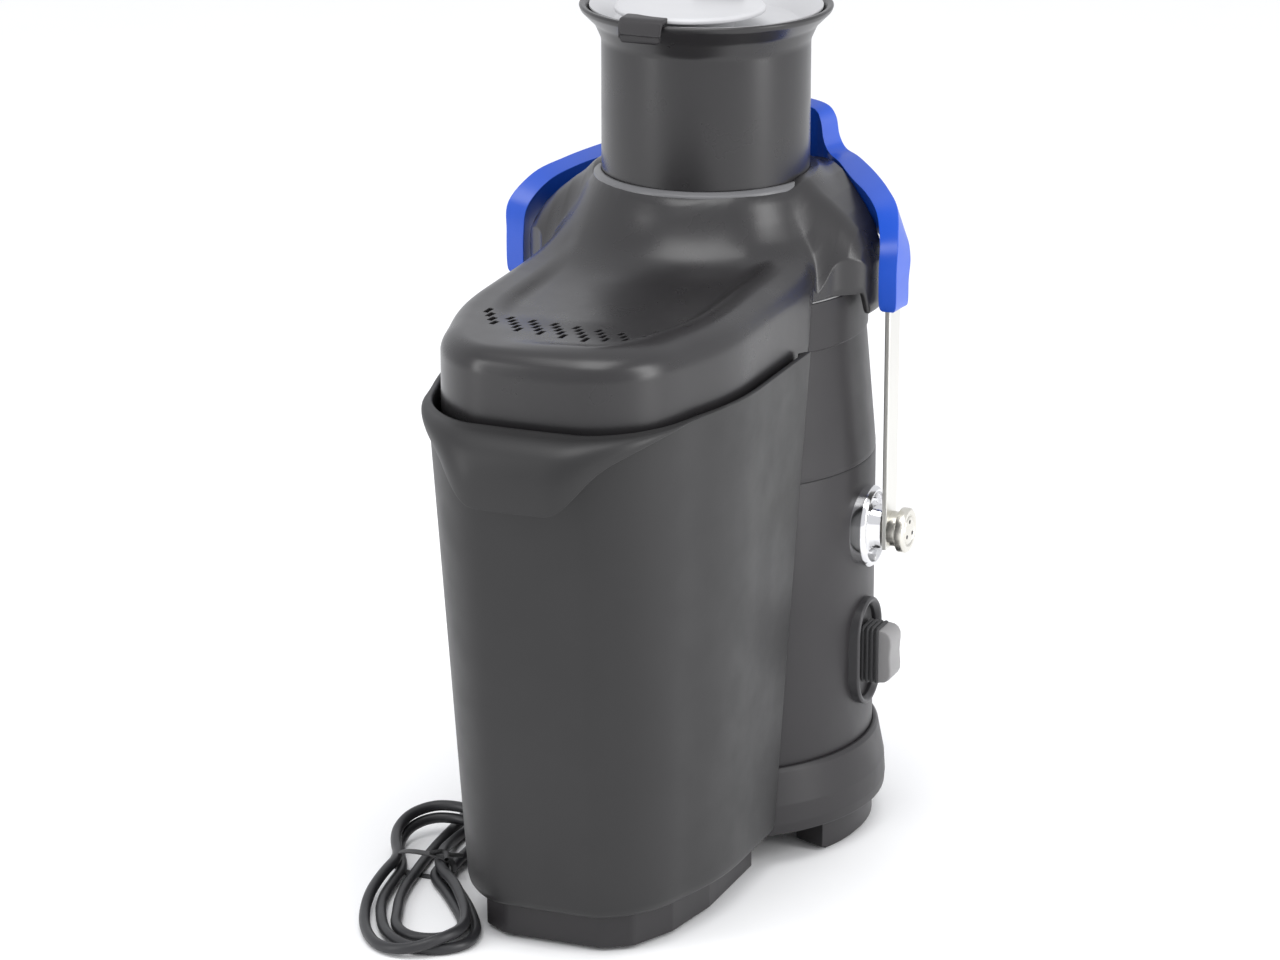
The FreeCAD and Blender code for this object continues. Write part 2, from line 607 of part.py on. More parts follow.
def make_lid():
    def dome(name, inset, low):
        return turned(name, [
            ("0", low), (f"band_radius - {inset}", low), (f"band_radius - {inset}", "lid_edge + 2"),
            (f"lid_shoulder - {inset}", "lid_shoulder_height - 0.4 * " + inset),
            (f"chute_base_radius - {inset}", f"chute_base - {inset}"),
            ("chute_radius + 0.2", f"chute_base + 4 - {inset}"), ("0", f"chute_base + 4 - {inset}"),
        ])
    def hood(name, inset, low):
        half = [(f"hood_half - {inset}", "20"), (f"hood_half - {inset}", "106", "135"),
                (f"56.5 - {inset}", "163", "50"), (f"28 - {inset}", f"hood_reach - {inset}")]
        body = raised(name, mirrored(half), low, f"hood_top - {inset}")
        top = number(f"hood_top - {inset}")
        return rounded(body, "8", lambda edge: abs(edge.BoundBox.ZMin - top) < 0.01 and edge.CenterOfMass.y > 25)
    outer = fuse(dome("LidDome", "0", "lid_edge"), hood("LidHood", "0", "hood_bottom"))
    inner = fuse(dome("LidDomeInside", "wall", "lid_edge - 1"), hood("LidHoodInside", "wall", "hood_bottom - 1"))
    clear_bowl = solid_round("band_radius + 0.6", "60", z="lid_edge - 60")
    hood_front = solid_block("160", "80", "60", "0", "0", "lid_edge - 60")
    chute_hole = solid_round("chute_radius + 0.05", "80", z="250")
    shell = cut(outer, inner, clear_bowl, hood_front, chute_hole)
    lugs = []
    for side in ("", "-"):
        lug = solid_block("14", "18", "32", f"{side}77.5", "0", "252")
        lugs.append(lug)
    lug_clear = turned("LugClear", [("0", "240"), ("75.6", "240"), ("75.6", "lid_edge"), ("72.5", "lid_edge"),
                                    ("lid_shoulder - 1", "lid_shoulder_height"), ("0", "lid_shoulder_height")])
    chamfer = turned("LugSlope", [("66", "310"), ("84", "276"), ("95", "276"), ("95", "310")])
    lug_parts = cut(fuse(*lugs), lug_clear, chamfer)
    slits = []
    for column in range(8):
        for row in range((4, 5, 5, 5, 5, 4, 3, 2)[column]):
            x = 44 - 11 * column - 3.2 * row
            y = 146 + 1.5 * column + 5.2 * row
            slits.append(put(solid_block("1.7", "3.8", "8"), str(x), str(y), "hood_top - 5"))
    node(cut(fuse(shell, lug_parts), *slits), "lid")
    node(turned("Chute", [
        ("chute_bore", "chute_bottom"), ("chute_radius", "chute_bottom"), ("chute_radius", "flare_start", "-22"),
        ("flare_radius", "chute_top - 1.5"), ("flare_radius", "chute_top"), ("flare_radius - wall", "chute_top"),
        ("chute_bore", "flare_start"),
    ]), "feed_chute")
    node(ring("chute_radius + 2.2", "chute_radius + 0.05", "2.4", "chute_base + 4"), "chute_collar")
    node(ring("band_radius - 0.2", "band_radius - 2.2", "0.6", "bowl_top + 0.3"), "lid_seal")


def make_pushers():
    bore = "small_radius + gap"
    body = turned("Pusher", [
        ("0", "pusher_bottom"), ("pusher_radius", "pusher_bottom"), ("pusher_radius", "flare_start"),
        ("flare_radius - wall - 2.2", "chute_top - 1.6"), ("flare_radius - wall - 2.2", "chute_top - 0.6"),
        ("42", "chute_top - 8"), ("0", "chute_top - 8"),
    ])
    well = turned("PusherWell", [("0", "pusher_bottom + 3"), ("41.5", "pusher_bottom + 3"),
                                 ("41.5", "chute_top - 11"), ("0", "chute_top - 11")])
    liner = solid_round(f"{bore} + 2", "chute_top - 9 - pusher_bottom", y="small_offset", z="pusher_bottom")
    passage = solid_round(bore, "190", y="small_offset", z="pusher_bottom - 10")
    node(cut(fuse(cut(body, well), liner), passage), "food_pusher")
    small = turned("SmallPusher", [("0", "pusher_bottom"), ("small_radius", "pusher_bottom"),
                                   ("small_radius", "chute_top + 1"), ("0", "chute_top + 1")])
    bind(small, "Placement.Base.y", "shaft_y + small_offset")
    cap = solid_round("cap_radius", "2.6", y="small_offset", z="chute_top + 0.4")
    tab = solid_block("20", "14", "2.6", "8", "53.4", "chute_top + 0.4")
    lip = solid_block("20", "2", "11", "8", "59.4", "chute_top - 8")
    grip = solid_block("24", "4", "7", "-6", "0", "chute_top + 2")
    hollow = solid_round("small_radius - wall", "chute_top - pusher_bottom - 6", y="small_offset",
                         z="pusher_bottom + 3")
    node(cut(fuse(small, cap, tab, lip, grip), hollow), "small_pusher")


# ---- pulp bin ----

def make_bin():
    def tub(name, inset, low, lift, high):
        body = new_body(name)
        low_sketch = new_sketch(body, "XY_Plane", f"bin_bottom + {lift}")
        foot = "bin_foot_half - " + inset
        outline(low_sketch, mirrored([(foot, "30"), (foot, "102", "130"), (f"51 - {inset}", "154", "48"),
                                      (f"26 - {inset}", f"bin_foot_reach - {inset}")]))
        high_sketch = new_sketch(body, "XY_Plane", f"bin_top + {high}")
        rim = "bin_half - " + inset
        outline(high_sketch, mirrored([(rim, "30"), (rim, "108", "140"), (f"61 - {inset}", "168", "55"),
                                       (f"30 - {inset}", f"bin_reach - {inset}")]))
        feature = body.newObject("PartDesign::AdditiveLoft", name + "Loft")
        feature.Profile = low_sketch
        feature.Sections = [high_sketch]
        feature.Ruled = True
        body.Tip = feature
        return body
    outer = tub("BinOuter", "0", "0", "0", "0")
    inner = tub("BinInner", "wall", "0", "wall", "1")
    flap_block = raised("Flap", mirrored([("60", "150"), ("60", "180"), ("38", "218"), ("22", "flap_reach - 2"),
                                         ("10", "flap_reach")]), "flap_bottom", "bin_top")
    side_view = crosswise("FlapSide", "YZ_Plane", [
        ("140", "bin_top"), ("bin_reach - 10", "bin_top"), ("bin_reach + 1", "bin_top", "-40"),
        ("flap_reach", "flap_bottom + 1"), ("flap_reach - wall", "flap_bottom", "42"), ("bin_reach - 1.5", "bin_top - 2.5"),
        ("140", "bin_top - 2.5"),
    ][::-1], "-70", "70")
    front_view = crosswise("FlapFront", "XZ_Plane", mirrored([
        ("20", "flap_bottom"), ("25", "flap_bottom + 5"), ("32", "flap_bottom + 18"), ("60", "bin_top"),
    ]), "-240", "-100")
    flap = cut(common(flap_block, side_view, front_view), inner)
    back = solid_round("bin_back_radius", "400", z="-50")
    back_outer = ring("bin_back_radius + wall", "bin_back_radius", "230", "bin_bottom")
    back_wall = common(back_outer, outer)
    tub_shell = cut(outer, inner)
    clear_hood = solid_block("135.5", "80", "40", "0", "70", "bin_back_top")
    node(cut(fuse(tub_shell, cut(back_wall, clear_hood), flap), back), "pulp_bin")


# ---- cord ----

GLAND_ANGLE = -50                # where the cord leaves the skirt, about the drive axis
GLAND_HEIGHT = 28
LEAD = [(69.4, -82.7, 28), (83, -98, 27), (99, -108, 21), (116, -106, 12), (129, -92, 4.5), (133, -72, 2.7),
        (129, -50, 2.7), (121.2, -26, 2.7), (115, -2, 2.7), (108, 22, 2.7), (101, 44, 2.7), (94.5, 64, 2.7),
        (90.5, 86, 2.7)]
TAIL = [(96, 8, 12), (96, 24, 11.5), (93.5, 40, 7), (89.5, 56, 3.2), (87.5, 72, 2.7), (89, 90, 2.7)]
HANK = [(82, 78), (90, 69), (101, 73), (107, 90), (103, 112), (98, 131), (97, 150), (92, 172), (84, 194),
        (72, 214), (56, 225), (40, 222), (29, 208), (27, 196), (38, 182), (50, 168), (62, 150), (72, 131),
        (77, 112), (80, 94)]


def cord_tube(name, route):
    """Straight runs joined by tangent arcs, each as large as its two runs allow."""
    shift = FreeCAD.Vector(0, number("shaft_y"), 0)
    points = [FreeCAD.Vector(*point) + shift for point in route]
    edges = []
    start = points[0]
    radii = []
    for before, corner, after in zip(points, points[1:], points[2:]):
        way_in = (corner - before).normalize()
        way_out = (after - corner).normalize()
        turn = way_in.getAngle(way_out)
        reach = 0.45 * min(corner.distanceToPoint(before), corner.distanceToPoint(after))
        radius = reach / math.tan(turn / 2)
        radii.append(radius)
        first = corner - way_in * reach
        last = corner + way_out * reach
        inward = (way_out - way_in).normalize()
        middle = corner + inward * (math.hypot(radius, reach) - radius)
        edges.append(Part.LineSegment(start, first).toShape())
        edges.append(Part.Arc(first, middle, last).toShape())
        start = last
    edges.append(Part.LineSegment(start, points[-1]).toShape())
    path = Part.Wire(edges)
    heading = (points[1] - points[0]).normalize()
    section = Part.Wire(Part.makeCircle(number("cord_radius"), points[0], heading))
    thing = doc.addObject("Part::Feature", name)
    thing.Shape = path.makePipeShell([section], True, False)
    expected = math.pi * number("cord_radius") ** 2 * path.Length
    print(f"{name}: length {path.Length:.0f}, smallest radius {min(radii):.1f}, "
          f"volume {thing.Shape.Volume:.0f} against {expected:.0f}")
    return thing


def make_cord():
    outward = FreeCAD.Rotation(FreeCAD.Vector(0, 0, 1), GLAND_ANGLE).multiply(ALONG_X)
    def at(distance):
        return f"{distance} * cos({GLAND_ANGLE})", f"{distance} * sin({GLAND_ANGLE})", str(GLAND_HEIGHT)
    gland = fuse(solid_round("6", "10", *at(78), outward), solid_round("8.5", "2.2", *at(86.2), outward),
                 solid_cone("6", "3.4", "20.05", *at(88), outward))
    node(cut(gland, solid_round("cord_radius", "40", *at(72), outward)), "cord_gland")
    hank = node(raised("Hank", [(str(x), str(y)) for x, y in HANK], "0.2", "15"), "cord_hank")
    band = cut(solid_block("34", "4", "16.2", "85", "131", "0.1"), hank)
    node(band, "cord_tie")
    head = solid_block("18", "34", "24", "96", "-9", "0.2")
    neck = solid_cone("6.5", "3.6", "16", "96", "7.9", "12.2", ALONG_Y)
    blades = [solid_block("6.4", "17", "1.6", "96", "-34", f"12.2 + ({shift})") for shift in (-7.3, 5.7)]
    earth = solid_round("2.4", "20", "102", "-46", "12.2", ALONG_Y)
    plug = node(fuse(head, neck, *blades, earth), "power_plug")
    node(cut(cord_tube("CordLead", LEAD), hank, plug), "cord_lead")
    node(cut(cord_tube("CordTail", TAIL), hank, plug), "cord_tail")
    return solid_round("6.05", "20", *at(74), outward)


gland_hole = make_cord()
make_base(gland_hole)
make_motor()
make_housing()
make_switch()
make_handle()
make_bowl()
make_lid()
make_pushers()
make_bin()
doc.recompute()

failed = [item.Name for item in doc.Objects if "Invalid" in item.State or "Error" in item.State]
if failed:
    raise SystemExit(f"these objects didn't compute: {failed}")
os.makedirs("parts", exist_ok=True)
for item in nodes:
    shape = item.Shape
    assert not shape.isNull() and shape.isValid(), item.Label
    print(f"{item.Label:22s} solids {len(shape.Solids):3d} valid {shape.isValid()} volume {shape.Volume / 1000:9.2f} cm3")
    shape.exportStep(f"parts/{item.Label}.step")
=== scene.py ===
"""Looks of the centrifugal juicer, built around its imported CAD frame. Metres, +Z up."""

import json
import math

import bmesh
import bpy
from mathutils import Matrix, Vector


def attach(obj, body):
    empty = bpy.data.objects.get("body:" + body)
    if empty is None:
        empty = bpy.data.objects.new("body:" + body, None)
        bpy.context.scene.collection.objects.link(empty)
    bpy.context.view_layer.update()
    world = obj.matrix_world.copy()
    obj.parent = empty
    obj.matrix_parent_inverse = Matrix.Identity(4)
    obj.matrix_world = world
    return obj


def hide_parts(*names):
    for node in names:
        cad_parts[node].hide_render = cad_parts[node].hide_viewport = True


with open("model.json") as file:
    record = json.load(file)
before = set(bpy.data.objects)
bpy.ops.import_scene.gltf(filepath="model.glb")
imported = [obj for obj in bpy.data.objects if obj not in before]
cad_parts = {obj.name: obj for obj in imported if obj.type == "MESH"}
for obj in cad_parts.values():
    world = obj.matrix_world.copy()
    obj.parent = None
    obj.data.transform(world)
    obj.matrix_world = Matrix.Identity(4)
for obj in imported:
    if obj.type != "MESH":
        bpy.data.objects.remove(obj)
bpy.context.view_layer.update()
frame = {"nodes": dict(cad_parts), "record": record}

AXIS_Y = -0.0575          # where the drive axis stands
MM = 0.001
scene = bpy.context.scene


def at(x, y, z):
    """A point given in millimetres from the drive axis."""
    return Vector((x * MM, AXIS_Y + y * MM, z * MM))


def add(name, data):
    """A new object in the scene."""
    thing = bpy.data.objects.new(name, data)
    scene.collection.objects.link(thing)
    return thing


def clamp(value, low=0.0, high=1.0):
    return max(low, min(high, value))


def ease(value):
    """0 to 1 with a gentle start and end."""
    value = clamp(value)
    return value * value * (3 - 2 * value)


def lerp(a, b, t):
    return a + (b - a) * t


def along(stations, value):
    """What a list of (position, amount) stations gives at a position; level past both ends."""
    for (a, from_a), (b, to_b) in zip(stations, stations[1:]):
        if value <= b:
            return lerp(from_a, to_b, clamp((value - a) / (b - a)))
    return stations[-1][1]


def turn(count):
    """Angles spaced evenly round a full turn."""
    return [2 * math.pi * index / count for index in range(count)]


def squared(value, power):
    """A sine or cosine drawn out, so that a circle becomes a rounded rectangle."""
    return math.copysign(abs(value) ** power, value)


# ---- camera, light and floor ----

CAMERA_PLACE = (-0.7719, 1.9255, 0.8333)
CAMERA_WAY = (0.3585, -0.884, -0.301)
FILL_STRENGTH = 0.92

camera_data = bpy.data.cameras.new("camera")
camera = add("camera", camera_data)
camera.location = CAMERA_PLACE
camera.rotation_mode = "QUATERNION"
camera.rotation_quaternion = Vector(CAMERA_WAY).to_track_quat("-Z", "Y")
camera_data.lens = 135
camera_data.sensor_width = 36
camera_data.clip_start = 0.05
camera_data.clip_end = 60
scene.camera = camera
scene.view_settings.view_transform = "Standard"

world = bpy.data.worlds.new("studio")
scene.world = world
world.use_nodes = True
sky = world.node_tree
sky.nodes.clear()
seen = sky.nodes.new("ShaderNodeBackground")
seen.inputs["Color"].default_value = (1, 1, 1, 1)
seen.inputs["Strength"].default_value = 1.0
fill = sky.nodes.new("ShaderNodeBackground")
fill.inputs["Color"].default_value = (0.96, 0.97, 1, 1)
fill.inputs["Strength"].default_value = FILL_STRENGTH
path = sky.nodes.new("ShaderNodeLightPath")
either = sky.nodes.new("ShaderNodeMixShader")
out = sky.nodes.new("ShaderNodeOutputWorld")
sky.links.new(path.outputs["Is Camera Ray"], either.inputs["Fac"])
sky.links.new(fill.outputs["Background"], either.inputs[1])
sky.links.new(seen.outputs["Background"], either.inputs[2])
sky.links.new(either.outputs["Shader"], out.inputs["Surface"])


def softbox(name, place, target, width, height, power):
    """A rectangular area light at a place, facing a target."""
    data = bpy.data.lights.new(name, "AREA")
    data.shape = "RECTANGLE"
    data.size = width
    data.size_y = height
    data.energy = power
    lamp = add(name, data)
    lamp.location = place
    lamp.rotation_mode = "QUATERNION"
    lamp.rotation_quaternion = (Vector(target) - Vector(place)).to_track_quat("-Z", "Y")


softbox("light_right", (-1.7, 0.1, 0.75), (0, -0.02, 0.2), 0.5, 1.6, 16)
softbox("light_left", (1.15, 1.35, 0.7), (0, 0, 0.2), 0.35, 1.5, 9)
softbox("light_top", (-0.1, 0.5, 1.9), (0, 0, 0.2), 1.3, 1.0, 15)


# ---- materials ----

def tree_of(name):
    material = bpy.data.materials.new(name)
    material.use_nodes = True
    tree = material.node_tree
    shader = tree.nodes["Principled BSDF"]
    place = tree.nodes.new("ShaderNodeTexCoord")
    return material, tree, shader, place


def noise_node(tree, place, scale, detail=3.0, stretch=(1, 1, 1)):
    """Noise fixed to the object."""
    mapping = tree.nodes.new("ShaderNodeMapping")
    mapping.inputs["Scale"].default_value = stretch
    tree.links.new(place.outputs["Object"], mapping.inputs["Vector"])
    grain = tree.nodes.new("ShaderNodeTexNoise")
    grain.inputs["Scale"].default_value = scale
    grain.inputs["Detail"].default_value = detail
    tree.links.new(mapping.outputs["Vector"], grain.inputs["Vector"])
    return grain


def spread(tree, source, low, high):
    """The middle of a noise spread over the values low to high."""
    ranges = tree.nodes.new("ShaderNodeMapRange")
    ranges.inputs["From Min"].default_value = 0.3
    ranges.inputs["From Max"].default_value = 0.7
    ranges.inputs["To Min"].default_value = low
    ranges.inputs["To Max"].default_value = high
    tree.links.new(source, ranges.inputs["Value"])
    return ranges.outputs["Result"]


def edge_mask(tree, radius, gain):
    """White along sharp edges, where handling rubs the surface."""
    soft = tree.nodes.new("ShaderNodeBevel")
    soft.samples = 4
    soft.inputs["Radius"].default_value = radius
    flat = tree.nodes.new("ShaderNodeNewGeometry")
    alike = tree.nodes.new("ShaderNodeVectorMath")
    alike.operation = "DOT_PRODUCT"
    tree.links.new(soft.outputs["Normal"], alike.inputs[0])
    tree.links.new(flat.outputs["Normal"], alike.inputs[1])
    mask = tree.nodes.new("ShaderNodeMapRange")
    mask.inputs["From Min"].default_value = 0.995
    mask.inputs["From Max"].default_value = 0.8
    mask.inputs["To Min"].default_value = 0.0
    mask.inputs["To Max"].default_value = gain
    tree.links.new(alike.outputs["Value"], mask.inputs["Value"])
    return soft, mask.outputs["Result"]


GRAIN_DEPTH = 0.00005
EDGE_RADIUS = 0.0007


def surface(name, colour, roughness, metallic=0.0, grain=2400.0, grain_strength=0.25, blotch=0.12, worn=0.25,
            stretch=(1, 1, 1), specular=0.5, coat=0.0, sheen=0.0):
    """A moulded, cast or drawn surface: fine grain, uneven gloss and colour, lighter rubbed edges."""
    material, tree, shader, place = tree_of(name)
    broad = noise_node(tree, place, 9.0)
    patches = noise_node(tree, place, 55.0, 4.0, stretch)
    dark = tuple(c * (1 - blotch) for c in colour) + (1,)
    light = tuple(min(1, c * (1 + blotch)) for c in colour) + (1,)
    tone = tree.nodes.new("ShaderNodeMix")
    tone.data_type = "RGBA"
    tone.inputs["A"].default_value = dark
    tone.inputs["B"].default_value = light
    tree.links.new(spread(tree, broad.outputs["Fac"], 0.0, 1.0), tone.inputs["Factor"])
    soft, mask = edge_mask(tree, EDGE_RADIUS, worn)
    rubbed = tree.nodes.new("ShaderNodeMix")
    rubbed.data_type = "RGBA"
    rubbed.inputs["B"].default_value = tuple(min(1, c * 2.2 + 0.03) for c in colour) + (1,)
    tree.links.new(mask, rubbed.inputs["Factor"])
    tree.links.new(tone.outputs["Result"], rubbed.inputs["A"])
    tree.links.new(rubbed.outputs["Result"], shader.inputs["Base Color"])
    tree.links.new(spread(tree, patches.outputs["Fac"], roughness * 0.9, roughness * 1.1),
                   shader.inputs["Roughness"])
    fine = noise_node(tree, place, grain, 2.0, stretch)
    bump = tree.nodes.new("ShaderNodeBump")
    bump.inputs["Strength"].default_value = grain_strength
    bump.inputs["Distance"].default_value = GRAIN_DEPTH
    tree.links.new(fine.outputs["Fac"], bump.inputs["Height"])
    tree.links.new(soft.outputs["Normal"], bump.inputs["Normal"])
    tree.links.new(bump.outputs["Normal"], shader.inputs["Normal"])
    shader.inputs["Metallic"].default_value = metallic
    shader.inputs["Specular IOR Level"].default_value = specular
    shader.inputs["Coat Weight"].default_value = coat
    shader.inputs["Coat Roughness"].default_value = 0.25
    shader.inputs["Sheen Weight"].default_value = sheen
    return material


BRUSHED = (1, 1, 0.04)          # streaks along the height
LAMINATED = (0.05, 0.05, 1)     # fine level layers
MATERIALS = {
    "body_plastic": surface("body_plastic", (0.024, 0.0225, 0.024), 0.42, specular=0.36),
    "lid_plastic": surface("lid_plastic", (0.019, 0.018, 0.019), 0.29, grain_strength=0.15),
    "bin_plastic": surface("bin_plastic", (0.018, 0.0176, 0.018), 0.43, specular=0.36),
    "pusher_plastic": surface("pusher_plastic", (0.47, 0.47, 0.48), 0.4, worn=0.1),
    # collar_plastic is a light grey far brighter than the lid plastic: painted highlight, standing for the
    # light line along the fillet where the chute meets the lid.
    "collar_plastic": surface("collar_plastic", (0.13, 0.13, 0.135), 0.35),
    "blue_plastic": surface("blue_plastic", (0.008, 0.075, 0.52), 0.34, grain_strength=0.12, blotch=0.05,
                            worn=0.2, coat=0.15),
    "satin_steel": surface("satin_steel", (0.74, 0.73, 0.69), 0.3, 1.0, 1500, stretch=BRUSHED, blotch=0.03,
                           worn=0.1),
    "nickel": surface("nickel", (0.68, 0.66, 0.60), 0.24, 1.0, 1800, blotch=0.04, worn=0.1),
    "chrome": surface("chrome", (0.75, 0.75, 0.76), 0.13, 1.0, 900, grain_strength=0.05, blotch=0.03,
                      worn=0.0),
    "black_rubber": surface("black_rubber", (0.020, 0.020, 0.021), 0.62, grain=1800, worn=0.3, sheen=0.1),
    "seal_silicone": surface("seal_silicone", (0.25, 0.25, 0.25), 0.5),
    "switch_plastic": surface("switch_plastic", (0.035, 0.034, 0.036), 0.38),
    "screw_steel": surface("screw_steel", (0.5, 0.5, 0.5), 0.3, 1.0, 1500),
    "lamination_steel": surface("lamination_steel", (0.3, 0.3, 0.31), 0.42, 1.0, 1400, stretch=LAMINATED),
    "copper": surface("copper", (0.72, 0.35, 0.2), 0.3, 1.0, 900),
    "die_cast": surface("die_cast", (0.6, 0.6, 0.6), 0.5, 1.0, 700),
    "bearing_steel": surface("bearing_steel", (0.65, 0.65, 0.66), 0.2, 1.0, 1500),
    "inner_plastic": surface("inner_plastic", (0.6, 0.58, 0.5), 0.45),
    "carbon": surface("carbon", (0.02, 0.02, 0.02), 0.6),
    "circuit_board": surface("circuit_board", (0.04, 0.2, 0.08), 0.4),
    "steel_mesh": surface("steel_mesh", (0.7, 0.7, 0.7), 0.28, 1.0, 1300),
    "cord_jacket": surface("cord_jacket", (0.017, 0.017, 0.019), 0.44, grain=1500, worn=0.1),
    "rocker_face": surface("rocker_face", (0.24, 0.235, 0.235), 0.42, worn=0.2),
}
SLOTS = {part["node"]: part["material_slot"] for part in frame["record"]["subparts"]}

for label, thing in frame["nodes"].items():
    thing.data.materials.clear()
    thing.data.materials.append(MATERIALS[SLOTS[label]])


# ---- building pieces ----

def piece(name, points, faces, body, slot, nodes=(), material=None, crease=35):
    """A smooth mesh piece that rides on a body and stands for the given CAD nodes."""
    mesh = bpy.data.meshes.new(name)
    mesh.from_pydata([tuple(p) for p in points], [], faces)
    thing = add(name, mesh)
    work = bmesh.new()
    work.from_mesh(mesh)
    bmesh.ops.remove_doubles(work, verts=work.verts, dist=1e-6)
    bmesh.ops.recalc_face_normals(work, faces=work.faces)
    work.to_mesh(mesh)
    work.free()
    mesh.shade_smooth()
    mesh.set_sharp_from_angle(angle=math.radians(crease))
    mesh.materials.append(MATERIALS[material or slot])
    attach(thing, body)
    if nodes:
        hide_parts(*nodes)
    return thing


def grid_faces(rows, columns, closed_rows=False):
    """Faces between rings of points. With closed_rows the last ring also joins the first."""
    faces = []
    for i in range(rows if closed_rows else rows - 1):
        for j in range(columns):
            k = (j + 1) % columns
            n = (i + 1) % rows
            faces.append((i * columns + j, i * columns + k, n * columns + k, n * columns + j))
    return faces


def capped(rings):
    """Points and faces of a run of rings that is closed at both ends."""
    around = len(rings[0])
    points = [point for ring_points in rings for point in ring_points]
    faces = grid_faces(len(rings), around)
    faces += [tuple(range(around)), tuple(range(len(points) - around, len(points)))]
    return points, faces


def taken_from(work):
    """Points and faces of a bmesh, which is then freed."""
    points = [vertex.co.copy() for vertex in work.verts]
    faces = [tuple(vertex.index for vertex in face.verts) for face in work.faces]
    work.free()
    return points, faces


def rounded_path(corners, closed=True, steps=5):
    """Corners are (u, v, radius); each is replaced by points along its arc."""
    path_points = []
    count = len(corners)
    for index, (u, v, radius) in enumerate(corners):
        here = Vector((u, v))
        if radius <= 0 or (not closed and index in (0, count - 1)):
            path_points.append((u, v))
            continue
        before = Vector(corners[index - 1][:2]) - here
        after = Vector(corners[(index + 1) % count][:2]) - here
        wanted = radius / max(0.05, math.tan(before.angle(after) / 2))
        reach = min(wanted, 0.49 * before.length, 0.49 * after.length)
        first = here + before.normalized() * reach
        last = here + after.normalized() * reach
        for step in range(steps + 1):
            t = step / steps
            path_points.append(tuple(first * (1 - t) ** 2 + here * 2 * t * (1 - t) + last * t * t))
    return path_points


def lathe(name, corners, body, slot, nodes=(), centre=(0, 0), segments=160, closed=True):
    """A round piece about the drive axis, or about a parallel one. Corners are (radius, height, rounding)."""
    profile = rounded_path(corners, closed)
    points = []
    for radius, height in profile:
        for angle in turn(segments):
            points.append(at(centre[0] + radius * math.cos(angle), centre[1] + radius * math.sin(angle),
                             height))
    return piece(name, points, grid_faces(len(profile), segments, closed), body, slot, nodes)


def side_lathe(name, corners, side, y, z, body, slot, nodes=(), segments=96, stretch=0.0, material=None):
    """A round or stretched piece about an axis across the machine.

    Corners are (radius, distance out, rounding), and side is 1 or -1 along X.
    """
    profile = rounded_path(corners, True, 4)
    points = []
    for radius, reach in profile:
        for angle in turn(segments):
            rise = radius * math.sin(angle)
            rise += stretch if math.sin(angle) > 0 else -stretch
            points.append(at(side * reach, y + radius * math.cos(angle), z + rise))
    return piece(name, points, grid_faces(len(profile), segments, True), body, slot, nodes, material)


def block(name, low, high, body, slot, round_by, material=None):
    """A box with rounded edges, from its corners in millimetres."""
    work = bmesh.new()
    bmesh.ops.create_cube(work, size=1)
    middle = [(a + b) / 2 for a, b in zip(low, high)]
    span = [b - a for a, b in zip(low, high)]
    for vertex in work.verts:
        vertex.co = at(*(m + s * c for m, s, c in zip(middle, span, vertex.co)))
    bmesh.ops.bevel(work, geom=work.edges[:], offset=round_by * MM, segments=3, profile=0.5,
                    affect="EDGES", clamp_overlap=True)
    return piece(name, *taken_from(work), body, slot, material=material)


def arc_run(corners, steps):
    """Points along straight edges and outward arcs. A corner (x, y, radius) starts an edge of that radius."""
    run = []
    for (ax, ay, radius), (bx, by, _) in zip(corners, corners[1:]):
        start, end = Vector((ax, ay)), Vector((bx, by))
        chord = end - start
        outward_way = Vector((-chord.y, chord.x)).normalized()
        for step in range(steps):
            t = step / steps
            spot = start.lerp(end, t)
            if radius:
                half = chord.length / 2
                away = math.sqrt(radius * radius - half * half)
                along = (2 * t - 1) * half
                spot += outward_way * (away - math.sqrt(radius * radius - along * along))
            run.append(tuple(spot))
    run.append(tuple(corners[-1][:2]))
    return run


def softened(outline, rounds):
    """A closed outline with its corners eased by moving each point towards its neighbours."""
    for _ in range(rounds):
        count = len(outline)
        outline = [tuple((a + 2 * b + c) / 4 for a, b, c in
                         zip(outline[i - 1], outline[i], outline[(i + 1) % count])) for i in range(count)]
    return outline


def smooth(values, rounds=1):
    """A closed run of numbers with its sharp changes softened."""
    for _ in range(rounds):
        count = len(values)
        values = [(values[i - 1] + 2 * values[i] + values[(i + 1) % count]) / 4 for i in range(count)]
    return values


# ---- cord: gland, lead, hank, tie and plug ----

